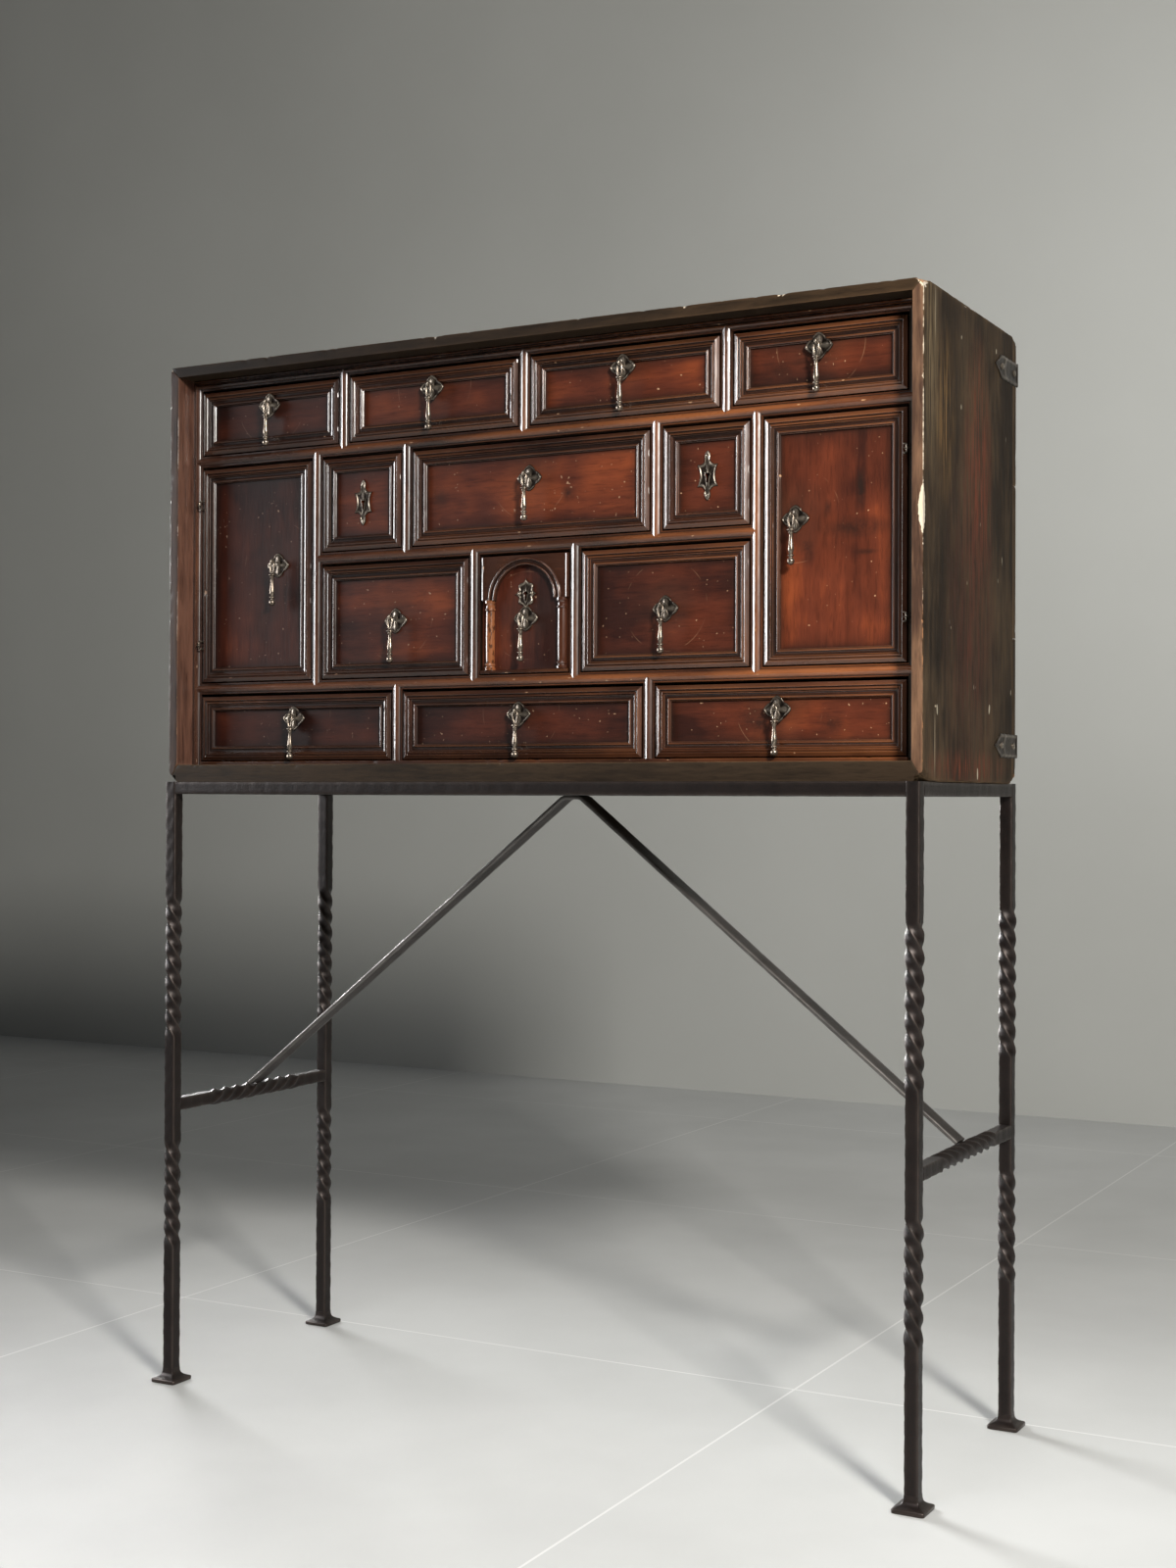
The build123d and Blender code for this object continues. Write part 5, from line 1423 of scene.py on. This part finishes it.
def make_straps():
    """Iron straps round the back corners, with pointed ends, chevrons and nails."""
    rng = np.random.default_rng(400)
    mesh = Mesh()
    tip, shoulder, bend = CASE_BACK - 86.0, CASE_BACK - 62.0, CASE_BACK + 2.0
    run = np.concatenate([np.linspace(tip, shoulder, 12), np.linspace(shoulder, bend, 22)[1:]])[:, None]
    across = np.linspace(-1, 1, 13)
    rim = np.exp(-(((np.abs(across) - 0.84) / 0.12) ** 2))
    nail = [(4.0, -0.6), (3.9, 0.5), (2.9, 1.1), (0.3, 1.35)]
    for side in (-1, 1):
        skin = side * (OUTER_HALF + 1.9)
        for z in (CASE_BOTTOM + 45, CASE_TOP - 45):
            half = 14.0 * np.clip((run - tip) / (shoulder - tip), 0.06, 1)
            high = z + (half + ripple(rng, run, run, 0.5, 19.0)) * across
            chevron = np.abs(run - shoulder - 10 - 9 * np.abs(across))
            height = 1.15 + 0.7 * np.exp(-((chevron / 2.0) ** 2)) + 0.5 * rim
            strap_leg(mesh, rng, side * OUTER_HALF, run, run, high, height, side * X, 0)
            x = skin - side * np.linspace(0, 58, 22)[:, None]
            high = z + 14.0 * across + ripple(rng, x, x, 0.4, 23.0)
            strap_leg(mesh, rng, x, CASE_BACK, x, high, 1.3 + 0.45 * rim, Y, -1)
            for y in (CASE_BACK - 14.0, shoulder + 1.0):
                lathe(mesh, nail, (skin, y, z), 12, (Y, Z, side * X), wear=0.9)
            lathe(mesh, nail, (side * (OUTER_HALF - 30), CASE_BACK + 1.9, z), 12, (X, Z, Y), wear=0.9)
    make_piece("corner_straps", mesh, (plate_iron,), 45)


def strap_leg(mesh, rng, x, y, run, z, height, out, end):
    """A strap's leg on one face of the case, thin at its edges and at one end."""
    height = height + ripple(rng, run, z, 0.12, 13.0)
    height[:, [0, -1]] = 0.7
    height[end] = 0.5
    under = np.stack(np.broadcast_arrays(x, y, z), axis=-1)
    worn = np.clip(height - 1.2, 0, 1)
    sheet(mesh, placed(under, (height, out)), under, np.stack([worn, 0 * worn]))


def sheet(mesh, front, under, wear, grime_and_shade=0.0, tone=0.0):
    """A closed sheet between two grids of points."""
    rows, columns = front.shape[:2]
    base = rows * columns
    faces = []
    for i in range(rows - 1):
        for j in range(columns - 1):
            a = i * columns + j
            faces.append((a, a + 1, a + columns + 1, a + columns))
            faces.append((base + a, base + a + columns, base + a + columns + 1, base + a + 1))
    for j in range(columns - 1):
        for a in (j, base - columns + j):
            faces.append((a, a + 1, base + a + 1, base + a))
    for i in range(rows - 1):
        for a in (i * columns, (i + 1) * columns - 1):
            faces.append((a, a + columns, base + a + columns, base + a))
    mesh.add(np.stack([front, under]), faces, 0, wear, grime_and_shade, 0, tone)


# ---- Stand -----------------------------------------------------------------------------

BAR = 16.0
LEG_X, LEG_Y = 506.0, 168.0
STAND_TOP = 780.0
STRETCHER_Z = 359.0


def rounded_corners(half_x, half_y, soft, count):
    """The corners of a rounded rectangle, with count points round each."""
    points = []
    for quarter, (side_x, side_y) in enumerate(((1, 1), (-1, 1), (-1, -1), (1, -1))):
        for i in range(count):
            angle = math.radians(90 * quarter + 90 / (count - 1) * i)
            points.append((side_x * (half_x - soft) + soft * math.cos(angle),
                           side_y * (half_y - soft) + soft * math.sin(angle)))
    return points


def forged_bar(mesh, rng, start, end, u, width, thick, turn=None, soft=1.7, step=3.0, dents=0.22):
    """A hammered bar of rectangular section from start to end.

    u is the direction of its width, and turn gives an angle for each distance along.
    """
    corners = rounded_corners(width / 2, thick / 2, soft, 4)
    section = []
    for i, (px, py) in enumerate(corners):
        section.append((px, py, 1.0 if i % 4 in (1, 2) else 0.5))
        if i % 4 == 3:
            qx, qy = corners[(i + 1) % 16]
            section += [(px + (qx - px) * t, py + (qy - py) * t, 0.12) for t in (0.25, 0.5, 0.75)]
    px, py, edge = np.array(section).T
    start = np.array(start, float)
    length = float(np.linalg.norm(end - start))
    along = (end - start) / length
    s = np.linspace(0, length, max(3, int(length / step)))[:, None]
    angle = turn(s) if turn is not None else 0 * s
    shrink = 1 + ripple(rng, s, 4 * px, dents / 8, 23.0) + ripple(rng, s, 2 * py, dents / 12, 61.0)
    shrink = np.minimum(shrink, 1.03)
    a = (px * np.cos(angle) - py * np.sin(angle)) * shrink
    b = (px * np.sin(angle) + py * np.cos(angle)) * shrink
    points = placed(start, (s, along), (a, u), (b, np.cross(along, u)))
    mesh.add(points, tube_faces(len(s), len(px)), 0, 0.8 * edge, np.clip(0.25 - edge, 0, 1), 0,
             rng.uniform(0, 1))


def twist(spans, hand):
    """The turn of a bar that is twisted over spans of (first, last, quarter turns)."""

    def turn(s):
        angle = 0 * s
        for first, last, quarters in spans:
            angle = angle + hand * quarters * math.pi / 2 * np.clip((s - first) / (last - first), 0, 1)
        return angle

    return turn


def foot_piece(mesh, rng, x, y):
    """A forged foot, spread out from the bar to a square pad."""
    profile = [(17.6, 0.0, 0.2), (18.8, 0.7, 0.9), (19.0, 3.9, 0.9), (18.4, 5.0, 0.9), (16.0, 5.9, 0.5),
               (12.6, 7.4, 0.2), (10.2, 9.2, 0.2), (8.9, 11.2, 0.3), (8.3, 14.0, 0.4), (8.1, 18.0, 0.4)]
    rings = []
    for half, height, _ in profile:
        ring = np.array(rounded_corners(half, half, 0.16 * half, 4))
        grow = 1 + ripple(rng, ring[:, 0] * 2 + height, ring[:, 1] * 2, 0.02, 29.0)
        ring *= np.minimum(grow, 1.0)[:, None]
        rings.append(placed((x, y, height), (ring[:, 0], X), (ring[:, 1], Y)))
    points = np.array(rings)
    mesh.add(points, tube_faces(*points.shape[:2]), 0, np.array(profile)[:, 2:])


def make_stand():
    """Four twisted legs on forged feet, the top frame, two stretchers and two braces."""
    rng = np.random.default_rng(500)
    legs, feet, top, stretchers, braces = (Mesh() for _ in range(5))
    leg_foot = 12
    twisted = [(first - leg_foot, last - leg_foot, quarters)
               for first, last, quarters in ((177, 312, 6), (449, 629, 8))]
    places = [(x, y) for x in (-LEG_X, LEG_X) for y in (-LEG_Y, LEG_Y)]
    for x, y in places:
        forged_bar(legs, rng, (x, y, leg_foot), (x, y, STAND_TOP), X, BAR, BAR, twist(twisted, -1), step=2.6)
    for x, y in places:
        foot_piece(feet, rng, x, y)
    reach_x, reach_y, level = LEG_X - BAR / 2, LEG_Y - BAR / 2, STAND_TOP - BAR / 2
    for y in (-LEG_Y, LEG_Y):
        forged_bar(top, rng, (-reach_x, y, level), (reach_x, y, level), Y, BAR, BAR, step=5.0, dents=0.12)
    for x in (-LEG_X, LEG_X):
        forged_bar(top, rng, (x, -reach_y, level), (x, reach_y, level), X, BAR, BAR, step=5.0, dents=0.12)
    cross_z = STAND_TOP - 12
    forged_bar(top, rng, (0, -reach_y, cross_z), (0, reach_y, cross_z), X, 28.0, 8.0, soft=1.2,
               step=5.0, dents=0.1)
    for side in (-1, 1):
        x, middle = side * LEG_X, [(reach_y - 96, reach_y + 96, 8)]
        forged_bar(stretchers, rng, (x, -reach_y, STRETCHER_Z), (x, reach_y, STRETCHER_Z), X, BAR, BAR,
                   twist(middle, side), step=2.6)
    for side in (-1, 1):
        brace(braces, rng, side)
    for name, mesh, look in (("legs", legs, stand_iron), ("feet", feet, stand_iron),
                             ("top_frame", top, stand_iron), ("stretchers", stretchers, stand_iron),
                             ("braces", braces, brace_iron)):
        make_piece(f"stand_{name}", mesh, (look,), 50)


def brace(mesh, rng, side):
    """A flat bar from under the cross bar down to a stretcher, bent at its tab."""
    bend, foot = np.array([12.0, 761.5]), np.array([502.0, 369.5])
    length = np.linalg.norm(foot - bend)
    slope = (foot - bend) / length
    path = [(0.0, 761.5), bend - (5, 0), bend - (2, 0.15), bend + 2.5 * slope, bend + 6 * slope]
    path = np.array(path + [bend + slope * v for v in np.linspace(12, length, 96)])
    tangent = unit(np.gradient(path, axis=0))
    normal = np.column_stack([-tangent[:, 1], tangent[:, 0]])
    width, thick = 28.0, 5.0
    section = []
    for i, (px, py) in enumerate(rounded_corners(width / 2, thick / 2, 1.3, 3)):
        section.append((px, py, 0.7))
        if i in (2, 8):
            half_x, half_y = math.copysign(width / 2, px), math.copysign(thick / 2, py)
            section += [(half_x * t, half_y, 0.07) for t in (0.6, 0.2, -0.2, -0.6)]
    across, out, wear = np.array(section).T
    s = np.arange(len(path))[:, None] * 6.0
    shift = ripple(rng, s, across, 0.16, 70.0) + ripple(rng, s, 3 * across, 0.08, 19.0)
    out = out + shift * np.sign(out) * 0.6 - 0.1 * np.sign(out)
    sway = ripple(rng, s, 0 * s, 0.3, 90.0) * np.sign(across) * (np.abs(across) > 13)
    y = np.clip(across + sway, -14.2, 14.2)
    points = np.stack([side * (path[:, :1] + normal[:, :1] * out), y, path[:, 1:] + normal[:, 1:] * out],
                      axis=-1)
    mesh.add(points, tube_faces(*points.shape[:2]), wear=wear)


# ---- Hidden boards that stay as CAD ----------------------------------------------------


def dress_cad(name, material):
    """Gives a CAD node its finish."""
    node = NODES[name]
    node.data.materials.clear()
    node.data.materials.append(material)


set_camera()
set_lights()
make_room()
make_case()
make_back()
make_mouldings()
make_drawers()
make_doors()
make_hinge_eyes()
make_arch()
make_straps()
make_stand()
dress_cad("linings_and_shelves", inner_x)
dress_cad("partitions", inner_y)
